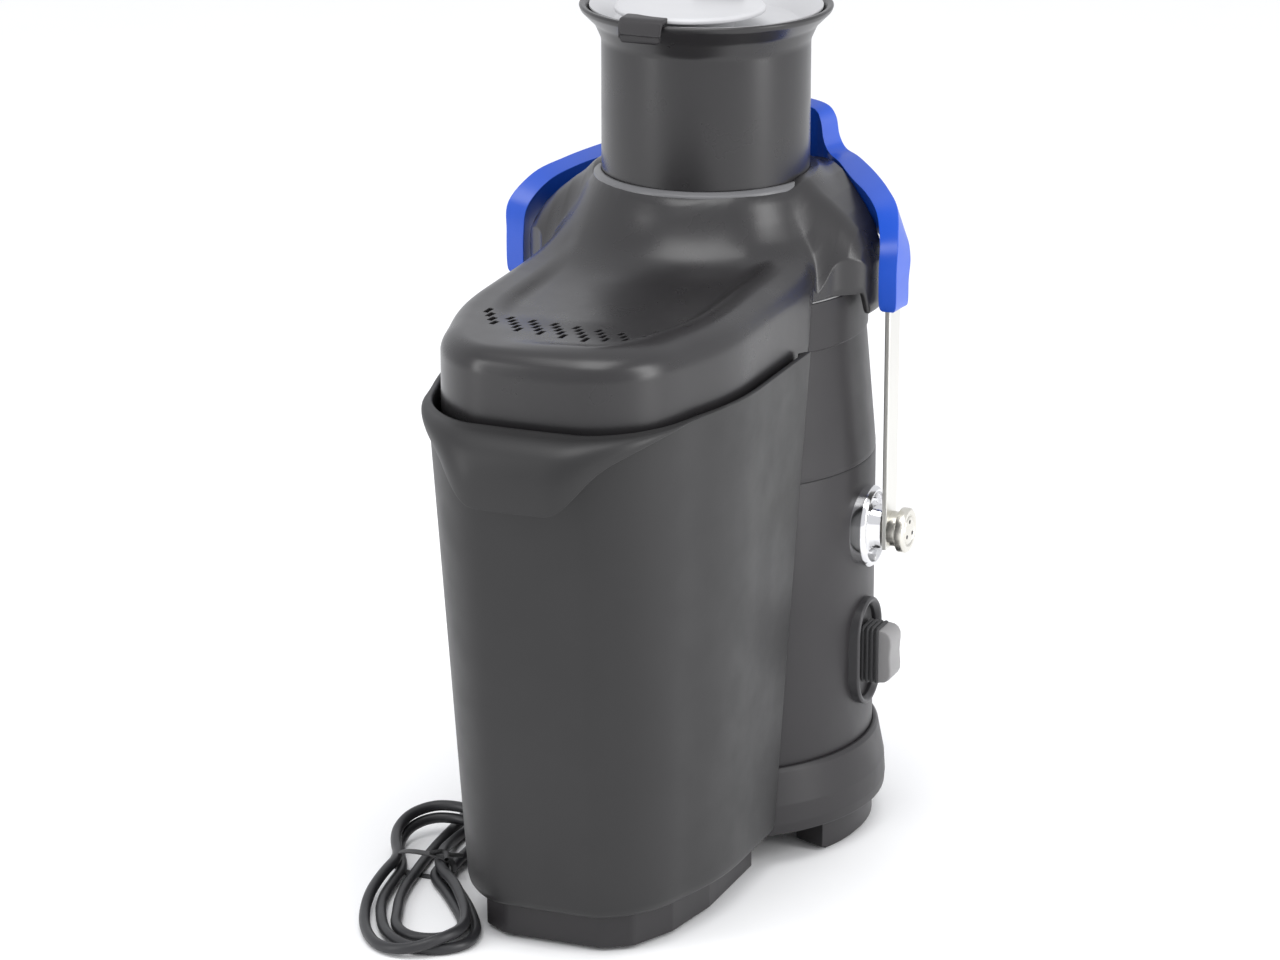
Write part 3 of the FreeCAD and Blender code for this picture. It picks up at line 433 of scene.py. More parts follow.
CORD = 0.005
ROUTE = [
    (69.4, -82.7, 28), (83, -98, 27), (99, -108, 21), (116, -106, 12), (129, -92, 4.5), (133, -72, 2.7),
    (129, -50, 2.7), (121.2, -26, 2.7), (115, -2, 2.7), (108, 22, 2.7), (101, 44, 2.7), (95.5, 64, 2.7),
    (94.5, 86, 2.7), (92.5, 108, 2.7), (89, 131, 2.7),
    (86.5, 148, 2.7), (82, 166, 2.7), (76, 181, 2.7), (71.5, 193, 2.7), (64, 201, 2.7), (55, 203.5, 2.7),
    (46, 200, 2.7), (42, 191, 2.7), (43.5, 180, 2.7), (56, 163, 2.7), (67, 149, 2.7), (77, 138, 2.7),
    (81, 128, 2.7), (78, 114, 2.7), (74, 102, 3), (74.5, 90, 6), (82, 82, 8.4), (93, 79, 8.6), (104, 82, 8.4),
    (111, 91, 6), (111, 103, 3), (105, 116, 2.7), (96, 131, 2.7),
    (93, 150, 2.7), (89, 170, 2.7), (81, 188, 2.7), (71, 204, 2.7), (57, 214, 2.7), (42, 213, 2.7),
    (32.5, 202, 2.7), (34, 188, 2.7), (41, 175, 2.7), (51, 160, 2.7), (62, 146, 2.7), (72, 134, 2.7),
    (75, 122, 4), (72, 109, 7.5), (71, 98, 9.5), (75, 86, 12.2), (84, 79.5, 14), (94, 78, 14.2),
    (104, 80, 13.8), (112, 89, 11.6), (113, 101, 8.6), (107, 116, 8.2), (98, 131, 8.1),
    (97, 150, 7.9), (95, 170, 5.4), (88.5, 190, 3), (79, 207, 2.7), (67, 219, 2.8), (52, 221, 4.6),
    (40, 211, 8.2), (36, 197, 8.4), (42, 181, 8.2), (51, 166, 8.1), (62, 150, 8.1), (73, 139, 8.1),
    (79, 129, 8.1), (83, 115, 7.6), (86.5, 102, 4.6), (88.4, 88, 2.9), (87.5, 72, 2.7), (89.5, 56, 3.2),
    (93.5, 40, 7), (96, 24, 11.5), (96, 14, 12.2),
]


def smooth_line(name, route):
    """One NURBS spline through space, with the route's points as its control points."""
    data = bpy.data.curves.new(name, "CURVE")
    data.dimensions = "3D"
    spline = data.splines.new("NURBS")
    spline.points.add(len(route) - 1)
    for point, place in zip(spline.points, route):
        point.co = (*at(*place), 1)
    spline.order_u = 3
    spline.use_endpoint_u = True
    spline.resolution_u = 8
    return add(name, data)


cord = smooth_line("mains_cord", ROUTE)
cord.data.bevel_depth = CORD / 2
cord.data.bevel_resolution = 5
cord.data.materials.append(MATERIALS["cord_jacket"])
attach(cord, "base")
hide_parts("cord_lead", "cord_hank", "cord_tail")

GLAND_ANGLE = math.radians(-50)
GLAND_Z = 28
ROUND_CORD = 48           # points round the strain relief and the plug's head
outward = Vector((math.cos(GLAND_ANGLE), math.sin(GLAND_ANGLE), 0))
sideways = Vector((-outward.y, outward.x, 0))
gland_profile = [(6.0, 79), (6.0, 86), (8.3, 86.4), (8.5, 87.2), (8.3, 88), (6.2, 88.6)]
for ridge in range(5):
    start = 90 + 3.4 * ridge
    thick = 5.9 - 0.5 * ridge
    gland_profile += [(thick, start), (thick, start + 1.8)]
    gland_profile += [(thick - 1.1, start + 2.0), (thick - 1.2, start + 3.2)]
gland_profile += [(3.2, 108), (2.4, 108.2)]
gland_points = []
for radius, reach in gland_profile:
    for angle in turn(ROUND_CORD):
        offset = sideways * (radius * math.cos(angle)) + Vector((0, 0, radius * math.sin(angle)))
        spot = outward * reach + offset
        gland_points.append(at(spot.x, spot.y, GLAND_Z + spot.z))
gland = piece("strain_relief", gland_points, grid_faces(len(gland_profile), ROUND_CORD), "base",
              "black_rubber", ["cord_gland"])

PLUG_X = 96
PLUG_Z = 12.2
PLUG_SQUARENESS = 0.5
# Sections of the plug's head: (y, half width, half height).
PLUG_HEAD = [(8, 6.5, 6.5), (5, 8.2, 9), (0, 8.9, 11), (-10, 8.9, 11.8), (-20, 8.6, 11.6), (-24.5, 8.2, 11),
             (-26, 7.4, 10.2)]
head_rings = [[at(PLUG_X + half_x * squared(math.cos(angle), PLUG_SQUARENESS), y,
                  PLUG_Z + half_z * squared(math.sin(angle), PLUG_SQUARENESS)) for angle in turn(ROUND_CORD)]
              for y, half_x, half_z in PLUG_HEAD]
plug = piece("plug_body", *capped(head_rings), "base", "cord_jacket", ["power_plug"])
blades = [block(f"plug_blade_{label}", (92.8, -43, PLUG_Z + z - 0.8), (99.2, -25, PLUG_Z + z + 0.8), "base",
                "nickel", 0.5) for label, z in (("low", -6.5), ("high", 6.5))]
earth = [block("plug_earth_pin", (100.2, -45, 10), (104.2, -25, 14.4), "base", "nickel", 1.9)]
ROUND_SLEEVE = 40
neck_rings = [(3.0, 24), (3.6, 23.4), (4.0, 20), (3.4, 19.6), (4.6, 19.2), (4.9, 16), (4.1, 15.6),
              (5.3, 15.2), (5.6, 12), (4.8, 11.6), (6.2, 11.2), (6.6, 7)]
neck_points = []
for radius, y in neck_rings:
    for angle in turn(ROUND_SLEEVE):
        neck_points.append(at(PLUG_X + radius * math.cos(angle), y, PLUG_Z + radius * math.sin(angle)))
neck = piece("plug_sleeve", neck_points, grid_faces(len(neck_rings), ROUND_SLEEVE), "base", "cord_jacket")

TIE_X, TIE_Y, TIE_Z = 85.5, 131, 5.9
TIE_HALF_WIDTH = 14.6
TIE_HALF_HEIGHT = 5.5
TIE_SQUARENESS = 0.7
ROUND_TIE = 64
TIE_SECTION = ((-2.4, 0.0), (-2.2, 0.5), (0, 0.65), (2.2, 0.5), (2.4, 0.0), (0, -0.1))
tie_points = []
for angle in turn(ROUND_TIE):
    x = TIE_X + TIE_HALF_WIDTH * squared(math.cos(angle), TIE_SQUARENESS)
    z = TIE_Z + TIE_HALF_HEIGHT * squared(math.sin(angle), TIE_SQUARENESS)
    outward_x = (x - TIE_X) / TIE_HALF_WIDTH
    outward_z = (z - TIE_Z) / TIE_HALF_HEIGHT
    for shift, lift in TIE_SECTION:
        tie_points.append(at(x + outward_x * lift, TIE_Y + shift, max(0.15, z + outward_z * lift)))
tie = piece("cord_tie_band", tie_points, grid_faces(ROUND_TIE, len(TIE_SECTION), True), "base",
            "black_rubber", ["cord_tie"])
for label, end in (("a", (71, 138, 13)), ("b", (68, 127, 11.6))):
    tail = smooth_line(f"tie_tail_{label}", [(82, 131, 12), (79, 132, 13.4), (76, 130, 13.6),
                                             (73, 133, 13.2), end])
    tail.data.bevel_depth = 0.0011
    tail.data.materials.append(MATERIALS["black_rubber"])
    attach(tail, "base")


# ---- lid ----

TURNS = 720               # points round the lid
ACROSS = 70               # rows of points from the chute to the lid's edge
CHUTE_RIM = 47.7
LID_RADIUS = 75.0
LUG_REACH = 8.6           # how far the shoulders stand out past the lid's round edge
LUG_DROP = 10.4           # how far they reach down past the seam
LID_WALL = 2.5
SEAM_LEVEL = 263.4
HOOD_EDGE = 238.0


def hood_outline():
    """The hood's plan, its straight back at the drive axis and its nose over the bin."""
    half = arc_run([(66, 0, 0), (66, 106, 135), (56.5, 163, 50), (28, 205, 400), (0, 206.5, 0)], 20)
    whole = half + [(-x, y) for x, y in reversed(half[:-1])]
    return [whole[0]] + softened(whole, 14)[1:-1] + [whole[-1]]


HOOD = hood_outline()


def edge_distance(outline, x, y):
    """How far inside a closed outline a point is; negative outside."""
    nearest = 1e9
    inside = False
    count = len(outline)
    for index in range(count):
        ax, ay = outline[index]
        bx, by = outline[(index + 1) % count]
        dx, dy = bx - ax, by - ay
        length = dx * dx + dy * dy
        t = clamp(((x - ax) * dx + (y - ay) * dy) / length) if length else 0
        gap = math.hypot(x - ax - t * dx, y - ay - t * dy)
        nearest = min(nearest, gap)
        if (ay > y) != (by > y) and x < (bx - ax) * (y - ay) / (by - ay) + ax:
            inside = not inside
    return nearest if inside else -nearest


def ray_reach(outline, angle):
    """How far a ray from the drive axis goes before it leaves an outline."""
    c, s = math.cos(angle), math.sin(angle)
    best = 0
    for index in range(len(outline) - 1):
        ax, ay = outline[index]
        bx, by = outline[index + 1]
        det = (bx - ax) * s - (by - ay) * c
        if abs(det) < 1e-9:
            continue
        r = (ay * (bx - ax) - ax * (by - ay)) / det
        t = (c * ay - s * ax) / det
        if r > 0 and -1e-6 <= t <= 1 + 1e-6:
            best = max(best, r)
    return best


CONE = [(47, 309.5), (51.5, 308.8), (53.5, 306), (58, 297), (63, 288), (68.2, 280), (71.5, 273.5), (74, 268),
        (75, 265.2), (76, 262)]
SHOULDER = [(48, 309.5), (54, 307.8), (62, 303), (70, 296.5), (76, 290.5), (80.5, 284), (83.5, 276),
            (86, 262)]
UNDER_HANDLE = [(41, -46), (50, -38), (62, -26.5), (73, -17.5), (82, -9), (87, -6)]
NECK_LEVEL = 272.5
SHELF_NEAR, SHELF_FAR = 279, 276.5
SCOOP_DEPTH = 4.6
RIDGE_INSET, RIDGE_WIDTH, RIDGE_HEIGHT = 15, 7, 2.4
FILLET = 10.0


def cone_height(radius):
    """The lid's round slope from the chute to its edge, falling steeply past the edge."""
    return along(CONE, radius) - 6 * max(0, radius - CONE[-1][0])


def trumpet(radius):
    """The neck below the chute, flowing out over the hood's shelf."""
    out_from_neck = max(0, radius - 50)
    return NECK_LEVEL + 37 * math.exp(-out_from_neck / 17)


def soft_max(a, b, blend):
    """The higher of two heights, with a fillet where they meet."""
    gap = max(blend - abs(a - b), 0) / blend
    return max(a, b) + gap * gap * blend / 4


def shoulder_height(x, y):
    """The broad shoulders that the handle closes on, one on each side."""
    far = abs(x)
    level = along(SHOULDER, far) - 2.4 * max(0, along(UNDER_HANDLE, far) - y)
    off = max(0, y - 3)
    return level - off * off * 0.04


def lid_height(x, y):
    """The lid's top surface: round slope, shoulders, and the hood's scooped shelf with its ridge."""
    radius = math.hypot(x, y)
    front = ease((y + 6) / 30)
    inside = edge_distance(HOOD, x, y)
    cone = soft_max(cone_height(radius), shoulder_height(x, y), 14)
    if y < 0:
        return cone
    shelf = lerp(SHELF_NEAR, SHELF_FAR, ease((radius - 60) / 110))
    flowing = soft_max(shelf - SCOOP_DEPTH, trumpet(radius), 6)
    scoop = ease((inside - 17) / 10) * ease((150 - y) / 40 + 0.6)
    switch_side = ease((30 - x) / 60)
    ridge = RIDGE_HEIGHT * math.exp(-((inside - RIDGE_INSET) / RIDGE_WIDTH) ** 2)
    shelf = shelf + ridge * switch_side * ease((y - 20) / 40)
    top = lerp(soft_max(shelf, trumpet(radius) - 1, 6), flowing, scoop)
    if inside < FILLET:
        depth = FILLET - max(inside, 0)
        top -= FILLET - math.sqrt(max(0, FILLET * FILLET - depth * depth))
    if inside < 0:
        top += inside * 5
    return lerp(cone, soft_max(cone, top, 5), front) if top > cone - 5 else cone


angles = turn(TURNS)
reach = []
drop = []
lug_drop = []
for angle in angles:
    hood_reach = ray_reach(HOOD, angle) if math.sin(angle) > 0.02 else 0
    from_middle = abs(LID_RADIUS * math.sin(angle))
    lug_reach = LID_RADIUS + LUG_REACH * ease((25 - from_middle) / 17)
    reach.append(max(LID_RADIUS, hood_reach, lug_reach))
    hood_y = math.sin(angle) * max(LID_RADIUS, hood_reach)
    drop.append(ease((hood_y - 37) / 5) if hood_reach > LID_RADIUS + 0.5 else 0.0)
    lug_drop.append(ease((12 - from_middle) / 4))
reach = smooth(reach, 3)
drop = smooth(drop, 2)
low_edge = [lerp(SEAM_LEVEL, HOOD_EDGE, fall) - LUG_DROP * lug_fall for fall, lug_fall in zip(drop, lug_drop)]


def edge_ring(inset, levels):
    """A ring of points at the lid's edge, drawn in by an inset, at the given levels."""
    return [at((far - inset) * math.cos(angle), (far - inset) * math.sin(angle), level)
            for angle, far, level in zip(angles, reach, levels)]


top_rows = []
under_rows = []
for row in range(ACROSS + 1):
    t = row / ACROSS
    t = 1 - (1 - t) ** 1.35
    ring_points = []
    below = []
    for angle, far in zip(angles, reach):
        radius = lerp(CHUTE_RIM, far, t)
        x, y = radius * math.cos(angle), radius * math.sin(angle)
        z = lid_height(x, y)
        ring_points.append(at(x, y, z))
        inner = lerp(CHUTE_RIM, far - LID_WALL, t)
        below.append(at(inner * math.cos(angle), inner * math.sin(angle), z - LID_WALL))
    top_rows.append(ring_points)
    under_rows.append(below)
wall_rows = []
for share, inset in ((0.06, 0), (0.2, 0), (0.4, 0), (0.6, 0), (0.8, 0), (0.95, 0), (1.0, 0.5)):
    levels = [lerp(point.z / MM, low, share) for point, low in zip(top_rows[-1], low_edge)]
    wall_rows.append(edge_ring(inset, levels))
lip_rows = [edge_ring(inset, [low + lift for low in low_edge]) for inset, lift in ((2.0, 0.0), (2.5, 0.5))]
lid_rows = top_rows + wall_rows + lip_rows + under_rows[::-1]
lid_points = [p for ring_points in lid_rows for p in ring_points]
lid = piece("lid_shell", lid_points, grid_faces(len(lid_rows), TURNS, True), "lid_set", "lid_plastic",
            ["lid"], crease=60)

SLIT_WIDTH, SLIT_LENGTH, SLIT_DEPTH = 2.3, 7.2, 8
SLITS_IN_COLUMN = (4, 5, 5, 5, 5, 4, 3, 2)
slit_work = bmesh.new()
for column, slits in enumerate(SLITS_IN_COLUMN):
    for row in range(slits):
        x = 44 - 11 * column - 3.2 * row
        y = 146 + 1.5 * column + 5.2 * row
        made = bmesh.ops.create_cube(slit_work, size=1)
        for vertex in made["verts"]:
            wide, deep, tall = vertex.co
            vertex.co = at(x + SLIT_WIDTH * wide, y + SLIT_LENGTH * deep,
                           lid_height(x, y) + SLIT_DEPTH * tall)
slit_mesh = bpy.data.meshes.new("slit_cutter")
bmesh.ops.recalc_face_normals(slit_work, faces=slit_work.faces)
slit_work.to_mesh(slit_mesh)
slit_work.free()
slit_cutter = add("slit_cutter", slit_mesh)
cutting = lid.modifiers.new("slits", "BOOLEAN")
cutting.operation = "DIFFERENCE"
cutting.solver = "EXACT"
cutting.object = slit_cutter
bpy.context.view_layer.update()
cut_mesh = bpy.data.meshes.new_from_object(lid.evaluated_get(bpy.context.evaluated_depsgraph_get()))
lid.modifiers.clear()
lid.data = cut_mesh
bpy.data.objects.remove(slit_cutter)

lathe("chute_tube", [(44.5, 309, 0), (47.5, 309, 0.4), (47.5, 372, 8), (50.6, 379, 6), (56.9, 385.2, 3),
                     (57.6, 387.2, 0.8), (56.8, 388, 0.6), (55.0, 387.6, 0.6), (48, 380, 6), (44.5, 372, 6)],
      "lid_set", "lid_plastic", ["feed_chute"], segments=240)
lathe("chute_throat", [(44.5, 216, 0.8), (47.5, 216, 0.8), (47.5, 309.2, 0.3), (44.5, 309.2, 0.3)], "lid_set",
      "lid_plastic", segments=200)
# The bead at the chute's foot is the real fillet in shape; its light grey colour is painted highlight of the
# light line along it.
lathe("chute_ring_painted_highlight", [(47.6, 307.5, 0.4), (51.2, 307.5, 1.0), (51.0, 310.2, 1.4), (48.8, 311.6, 0.8),
                     (47.6, 311.6, 0.3)], "lid_set", "collar_plastic", ["chute_collar"], segments=240)


# ---- pushers ----

SMALL_PUSHER = (0, 20)     # its axis stands off the drive axis
lathe("pusher_disc_small", [(0, 391.1, 0), (32.6, 391.1, 1.2), (34, 390, 0.9), (34, 388.6, 0.5),
                            (33.4, 388.4, 0.3), (0, 388.4, 0)],
      "inner_pusher", "pusher_plastic", ["small_pusher"], centre=SMALL_PUSHER, closed=False)
lathe("pusher_tube_small", [(0, 222, 0), (20, 222, 2), (20, 388.6, 0), (0, 388.6, 0)], "inner_pusher",
      "pusher_plastic", centre=SMALL_PUSHER, closed=False)
TAB_X = 8
# Sections of the tab along the rim: (y, low, high, half width).
TAB = [(50, 388.5, 391.0, 10.6), (56, 388.4, 391.0, 10.4), (58.6, 388.0, 390.8, 10.3),
       (60.2, 386.4, 389.8, 10.2), (60.8, 382, 388.2, 10), (60.4, 380.2, 380.8, 8.6)]
tab_rings = []
for y, low, high, half in TAB:
    corners = [(TAB_X - half, low, 0.8), (TAB_X + half, low, 0.8), (TAB_X + half, high, 1.0),
               (TAB_X - half, high, 1.0)]
    tab_rings.append([at(u, y, v) for u, v in rounded_path(corners, True, 3)])
piece("pusher_tab", *capped(tab_rings), "inner_pusher", "pusher_plastic", material="body_plastic")
block("pusher_grip", (-18, -2, 388), (6, 2, 396.6), "inner_pusher", "pusher_plastic", 1.6,
      material="body_plastic")


# ---- pulp bin ----

BIN_FOOT, BIN_RIM = 18, 246
WALL_TOP = 245.6          # where the wall turns over into the rim and flap
BACK = 88.2               # radius of the bin's hollow back
BACK_CUT = 236            # what stands above this at the back is pressed down to BACK_TOP
BACK_TOP = 235
FLAP_DROP = 32
# The grip flap's depth below the rim: (distance from its middle, depth).
FLAP = [(0, 32), (16, 32), (20, 31), (24, 27.5), (27.5, 21.5), (31, 15.5), (36, 11), (44, 6.8),
        (52, 3.2), (60, 0.4), (66, 0)]


def bin_outline(half):
    """The bin's plan at one level, from the corners of its +X half."""
    side = arc_run(half, 20)
    return softened(side + [(-x, y) for x, y in reversed(side[1:-1])], 12)


RIM = bin_outline([(0, 30, 0), (71, 30, 0), (71, 108, 140), (61, 168, 55), (30, 212, 500), (0, 213, 0)])
FOOT = bin_outline([(0, 30, 0), (60, 30, 0), (60, 102, 130), (51, 154, 48), (26, 190, 500), (0, 191, 0)])


def off_housing(x, y, clearance):
    """A point of the bin's back, moved out to clear the round housing."""
    wanted = BACK + clearance
    if math.hypot(x, y) < wanted and y < 110:
        return x, math.sqrt(wanted * wanted - x * x)
    return x, y


def inset_outline(outline, distance):
    """An outline drawn in by a distance."""
    moved = []
    count = len(outline)
    for index, (x, y) in enumerate(outline):
        ax, ay = outline[index - 1]
        bx, by = outline[(index + 1) % count]
        dx, dy = bx - ax, by - ay
        length = math.hypot(dx, dy) or 1
        moved.append((x - dy / length * distance, y + dx / length * distance))
    return moved


def bin_ring(level, inset, clearance=0.0):
    """The bin's outline at a level, between its foot and its rim."""
    share = clamp((level - BIN_FOOT) / (BIN_RIM - BIN_FOOT))
    ring_points = []
    for (fx, fy), (rx, ry) in zip(inset_outline(FOOT, inset), inset_outline(RIM, inset)):
        x, y = off_housing(lerp(fx, rx, share), lerp(fy, ry, share), clearance)
        ring_points.append((x, y, level))
    return ring_points


depths = smooth([along(FLAP, abs(x)) if y > 150 else 0.0 for x, y in RIM], 2)


def flap_ring(t, under):
    """A line along the grip flap, from the rim at 0 to its free edge at 1."""
    ring_points = []
    for index, ((x, y), depth) in enumerate(zip(RIM, depths)):
        ax, ay = RIM[index - 1]
        bx, by = RIM[(index + 1) % len(RIM)]
        length = math.hypot(bx - ax, by - ay) or 1
        nx, ny = (by - ay) / length, -(bx - ax) / length
        share = depth / FLAP_DROP
        out = (2 * t * (1 - t) * 20.5 + t * t * 14.5) * share ** 0.7
        down = depth * (2 * t * (1 - t) * 0.1 + t * t)
        thick = 2.4 * min(1, depth / 6) if under else 0.0
        lean = min(1, t * 1.3)
        out -= thick * lean
        down += thick * (1 - lean)
        if under:
            out = max(out, 0.0)
        px, py = off_housing(x + nx * out, y + ny * out, 0)
        ring_points.append((px, py, WALL_TOP - down))
    return ring_points


bin_rows = [bin_ring(22, 2.8, 2.5)]
bin_rows += [bin_ring(level, 2.5, 2.5) for level in (25, 60, 100, 140, 180, 220, 240)]
bin_rows += [bin_ring(245.2, 2.4, 2.4), bin_ring(246, 1.7, 1.7), bin_ring(246, 0.8, 0.8)]
bin_rows += [flap_ring(t, False)
             for t in (0.0, 0.08, 0.16, 0.24, 0.34, 0.44, 0.54, 0.64, 0.74, 0.84, 0.92, 1.0)]
bin_rows += [flap_ring(t, True) for t in (1.0, 0.92, 0.8, 0.6, 0.4, 0.2, 0.05)]
bin_rows += [bin_ring(level, 0.0)
             for level in (241, 238, 232, 225, 214, 200, 180, 150, 120, 90, 60, 40, 28, 23)]
bin_rows += [bin_ring(20.5, 0.5), bin_ring(18.9, 1.5), bin_ring(18.1, 3.2), bin_ring(18, 5)]
bin_points, bin_faces = capped([[at(*p) for p in ring_points] for ring_points in bin_rows])
for point in bin_points:
    x, y, z = point.x / MM, (point.y - AXIS_Y) / MM, point.z / MM
    if z > BACK_CUT and abs(x) < 67 and y < 99:
        point.z = BACK_TOP * MM + (z - BACK_CUT) * 0.02 * MM
piece("pulp_bin_shell", bin_points, bin_faces, "bin", "bin_plastic", ["pulp_bin"], crease=50)


# ---- handle ----

PIVOT_Z = 149.6
BAR_MIDDLE, BAR_THICKNESS, BAR_WIDTH = 91.05, 2.5, 14
BAR_LOW, BAR_HIGH = 141, 262
PIT_CIRCLE = 4.2
CAP = [(0.05, 96, 0), (8.2, 96, 0.3), (9.2, 96.6, 0.3), (10.5, 96.9, 0.5), (10.5, 100.2, 1.0),
       (9.6, 101, 0.6), (7.4, 101, 0.4), (7.0, 100.4, 0.3), (6.6, 100.4, 0.3), (6.2, 101.0, 0.4),
       (0.05, 101.1, 0)]
NECK = [(0.05, 92, 0), (8.2, 92, 0.3), (8.2, 96.8, 0.3), (0.05, 96.8, 0)]
# A thin black disc on the cap's face, not a cut hole: painted shade standing for the dark inside of a spanner
# hole.
PIT_SHADE_DOT = [(0.05, 100.9, 0), (0.95, 100.9, 0), (0.95, 101.15, 0.05), (0.05, 101.15, 0)]
PLATE = [(0.3, 70, 0), (16.5, 70, 0), (16.5, 83.2, 1.2), (15.2, 85, 1.0), (13.9, 85, 0.5), (13.4, 83.0, 0.5),
         (9.4, 83.0, 0.6), (8.6, 84.2, 0.5), (8.0, 86.5, 0.5), (7.6, 89.2, 0.4), (0.3, 89.2, 0)]

# Sections of the bail from its end over one bar to its middle, each with four corners.
BAIL = [
    ((93.6, 7, 254), (93.6, -7, 254), (88.4, -7, 254), (88.4, 7, 254)),
    ((95.4, 8.4, 257.5), (95.4, -8.4, 255), (87.2, -8.4, 255), (87.2, 8.4, 257.5)),
    ((95.6, 8.6, 274), (95.6, -8.6, 266), (87, -8.6, 266), (87, 8.6, 273)),
    ((95.4, 6.5, 288), (95.8, -10, 276), (86.6, -9, 274), (86.2, 5.4, 286)),
    ((89.5, -9, 298.5), (92, -15.5, 284), (82.6, -11.5, 281.5), (80.6, -6, 296)),
    ((80, -23, 303.5), (82, -27, 288), (73, -20, 286.5), (71.6, -17.5, 301.5)),
    ((69, -36, 307.5), (70.5, -37.4, 292), (62, -29, 291.5), (60.6, -28, 305.5)),
    ((57, -48, 310.8), (57.5, -48.6, 298), (50, -40.5, 298), (50, -40, 309.5)),
    ((48.5, -54.5, 312.6), (48.5, -55, 300), (43, -46.8, 302), (43, -46.6, 311.4)),
    ((44.2, -57, 318), (44.5, -57.2, 301.5), (39.4, -48.6, 303.5), (39.4, -48.4, 317)),
    ((42, -57.6, 327), (42, -58, 303), (37.4, -49.4, 304.5), (37.4, -49.4, 326)),
    ((36, -58.8, 332), (36.5, -59, 305.5), (33, -50.8, 306.5), (33, -50.8, 331)),
    ((20, -60.4, 334), (20, -60.6, 314), (18, -52.4, 315), (18, -52.2, 333)),
    ((0, -61, 334.3), (0, -61.2, 316), (0, -53, 316.8), (0, -52.8, 333.3)),
]


def flowing_stations(rings, steps):
    """Stations added between the given ones on a smooth curve through them."""
    dense = []
    last = len(rings) - 1
    for index in range(last):
        before, here = rings[max(index - 1, 0)], rings[index]
        there, after = rings[index + 1], rings[min(index + 2, last)]
        for step in range(steps):
            t = step / steps
            dense.append(tuple(
                tuple(0.5 * (2 * b + (c - a) * t + (2 * a - 5 * b + 4 * c - d) * t * t
                             + (3 * b - a - 3 * c + d) * t ** 3) for a, b, c, d in zip(*corner))
                for corner in zip(before, here, there, after)))
    return dense + [rings[-1]]


whole_bail = BAIL + [tuple((-x, y, z) for x, y, z in ring_points) for ring_points in reversed(BAIL[:-1])]
stations = flowing_stations(whole_bail, 6)
bail_rings = [[at(*p) for p in ring_points] for ring_points in stations]
bail = piece("handle_grip", *capped(bail_rings), "handle", "blue_plastic", ["handle_bail"], crease=180)
rounding = bail.modifiers.new("edges", "BEVEL")
rounding.width = 0.0014
rounding.segments = 3
rounding.limit_method = "ANGLE"
rounding.angle_limit = math.radians(32)
rounding.harden_normals = True
for label, side in (("right", 1), ("left", -1)):
    work = bmesh.new()
    bmesh.ops.create_cube(work, size=1)
    for vertex in work.verts:
        x, y, z = vertex.co
        vertex.co = at(side * (BAR_MIDDLE + BAR_THICKNESS * x), BAR_WIDTH * y,
                       lerp(BAR_LOW, BAR_HIGH, z + 0.5))
    lower_ends = [e for e in work.edges if abs(e.verts[0].co.z - e.verts[1].co.z) < 1e-6
                  and abs(e.verts[0].co.y - e.verts[1].co.y) < 1e-6 and e.verts[0].co.z < 0.2]
    bmesh.ops.bevel(work, geom=lower_ends, offset=6.5 * MM, segments=8, profile=0.5, affect="EDGES")
    bar = piece(f"handle_bar_{label}", *taken_from(work), "handle", "satin_steel", [f"handle_arm_{label}"])
    trim = bar.modifiers.new("edges", "BEVEL")
    trim.width = 0.0004
    trim.segments = 2
    side_lathe(f"pivot_cap_{label}", CAP, side, 0, PIVOT_Z, "base", "nickel", ["pivot_caps"])
    side_lathe(f"pivot_neck_{label}", NECK, side, 0, PIVOT_Z, "base", "nickel")
    # Three black discs on each cap: painted shade where the spanner holes look dark.
    for index in range(3):
        angle = math.radians(90 + 120 * index)
        side_lathe(f"cap_pit_painted_shade_{label}_{index}", PIT_SHADE_DOT, side, PIT_CIRCLE * math.cos(angle),
                   PIVOT_Z + PIT_CIRCLE * math.sin(angle), "base", "nickel", segments=24,
                   material="black_rubber")
    side_lathe(f"pivot_plate_{label}", PLATE, side, 0, PIVOT_Z, "base", "chrome", ["pivot_brackets"],
               stretch=2.5)


# ---- power switch ----

SWITCH_Z = 89
SWITCH_STRETCH = 9.5      # half the length of the frame's straight sides
FACE_X = -89.2
side_lathe("switch_frame", [(12.4, 78, 0), (12.4, 80.8, 0.4), (14.0, 82.8, 0.8), (15.2, 83.1, 0.7),
                            (16, 82.2, 0.7), (16, 70, 0), (12.4, 70, 0)], -1, 0, SWITCH_Z,
           "base", "switch_plastic", ["switch_bezel"], stretch=SWITCH_STRETCH)
side_lathe("switch_well", [(0.05, 79.2, 0), (12.6, 79.2, 0.4), (12.6, 78.0, 0), (0.05, 78.0, 0)], -1, 0,
           SWITCH_Z, "base", "switch_plastic", stretch=SWITCH_STRETCH, material="black_rubber")


def stadium(x, half_y, half_z, corner):
    """A rounded rectangle across the switch, at a distance along X."""
    corners = [(-half_y, -half_z, corner), (half_y, -half_z, corner), (half_y, half_z, corner),
               (-half_y, half_z, corner)]
    return [at(x, u, SWITCH_Z + v) for u, v in rounded_path(corners, True, 6)]


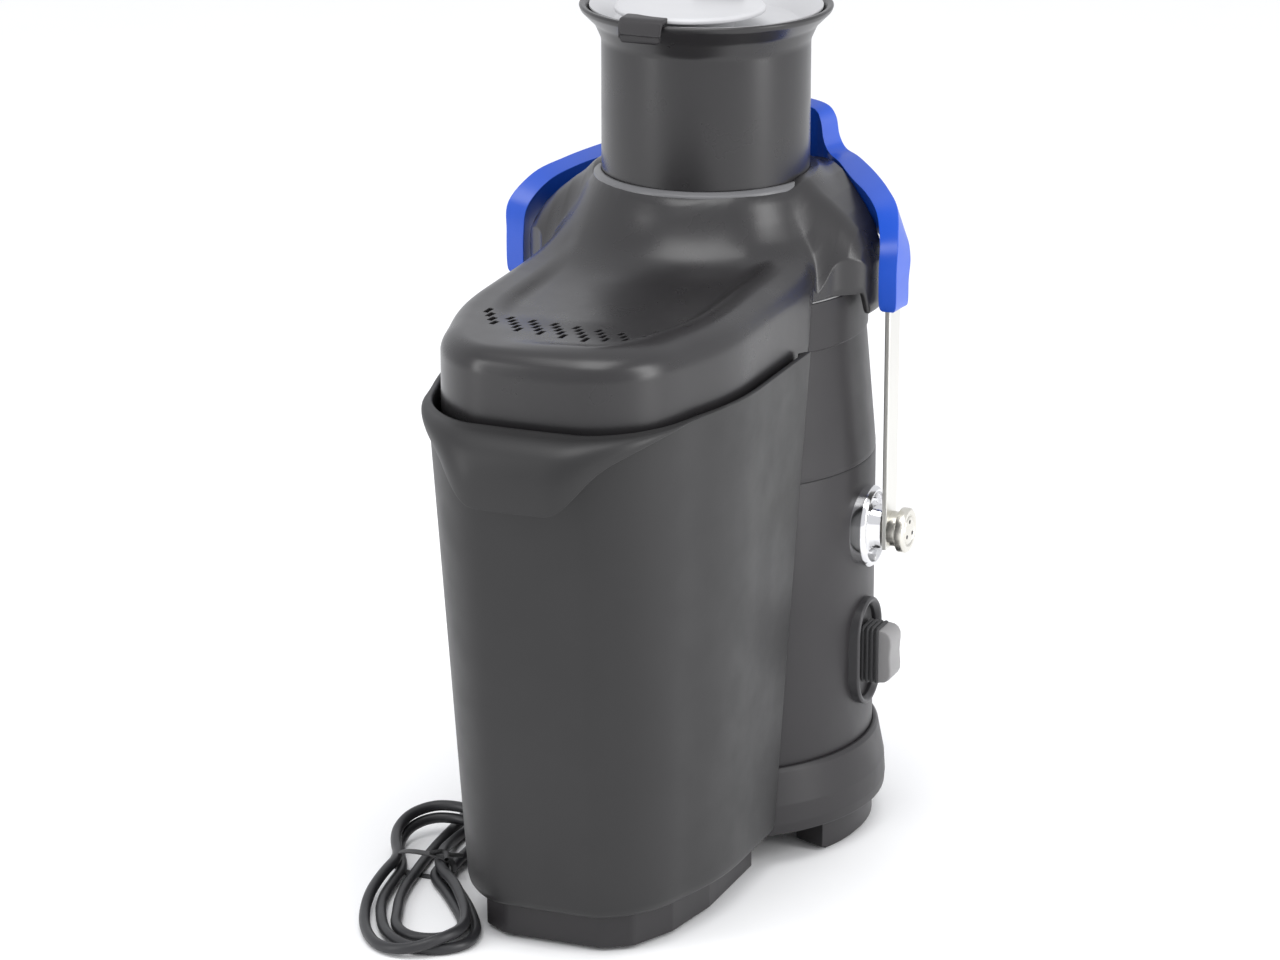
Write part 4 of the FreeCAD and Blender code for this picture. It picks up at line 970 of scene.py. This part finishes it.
boot_sections = [(-79.3, 7.4, 12.2, 3)]
for index in range(4):
    middle = -(81.4 + 2.3 * index)
    boot_sections += [(middle + 0.95, 7.1, 12.2, 2.6), (middle + 0.6, 8.0, 13.5, 3.0),
                      (middle - 0.1, 8.15, 13.65, 3.0), (middle - 0.7, 7.9, 13.4, 3.0),
                      (middle - 1.0, 7.1, 12.2, 2.6)]
boot_sections.append((-89.4, 7.0, 12.0, 2.6))
boot_rings = [stadium(*section) for section in boot_sections]
piece("switch_bellows", *capped(boot_rings), "rocker", "black_rubber", ["switch_boot"], crease=40)
# Sections of the rocker's face: (height from its middle, depth).
ROCKER_FACE = [(-12.6, 0.6), (-12.2, 3.4), (-11, 5.1), (-9, 6.1), (-6, 6.2), (-3, 5.9), (0, 5.7), (3, 5.9),
               (6, 6.2), (9, 6.1), (11, 5.1), (12.2, 3.4), (12.6, 0.6)]
face_rings = []
for z, depth in ROCKER_FACE:
    corners = [(FACE_X, -7.2, 0.2), (FACE_X, 7.2, 0.2), (FACE_X - depth, 7.2, 0.9),
               (FACE_X - depth, -7.2, 0.9)]
    face_rings.append([at(u, v, SWITCH_Z + z) for u, v in rounded_path(corners, True, 4)])
piece("rocker_cap", *capped(face_rings), "rocker", "switch_plastic", ["rocker_button"],
      material="rocker_face")


# ---- housing and base ----

lathe("housing_shell", [(77, 40, 0), (79.5, 40, 0.4), (79.5, 120, 0), (79.4, 180, 0), (79.0, 181, 0.4),
                        (77, 181, 0.2), (77, 177, 0.5), (20, 177, 0.5), (20, 183, 0.5), (11, 183, 0.4),
                        (11, 174, 0.4), (77, 174, 0.5)],
      "base", "body_plastic", ["motor_housing"], segments=240)
lathe("skirt_shell", [(83.5, 16, 0.5), (85.6, 16, 1.0), (86.0, 21, 1.5), (85.4, 30, 6), (82.4, 45.2, 1.2),
                      (81.2, 47, 0.8), (79.7, 47, 0.3), (79.7, 40, 0), (83.2, 24, 0)],
      "base", "body_plastic", ["base_skirt"], segments=240)

FLOOR = 12                # half its width, in metres
floor_mesh = bpy.data.meshes.new("floor")
floor_mesh.from_pydata([(-FLOOR, -FLOOR, 0), (FLOOR, -FLOOR, 0), (FLOOR, FLOOR, 0), (-FLOOR, FLOOR, 0)], [],
                       [(0, 1, 2, 3)])
floor = add("floor", floor_mesh)
floor_mesh.materials.append(surface("floor_paint", (0.99, 0.99, 0.99), 0.8, grain=300, grain_strength=0.05,
                                    blotch=0.005, worn=0.0))

bpy.context.view_layer.update()
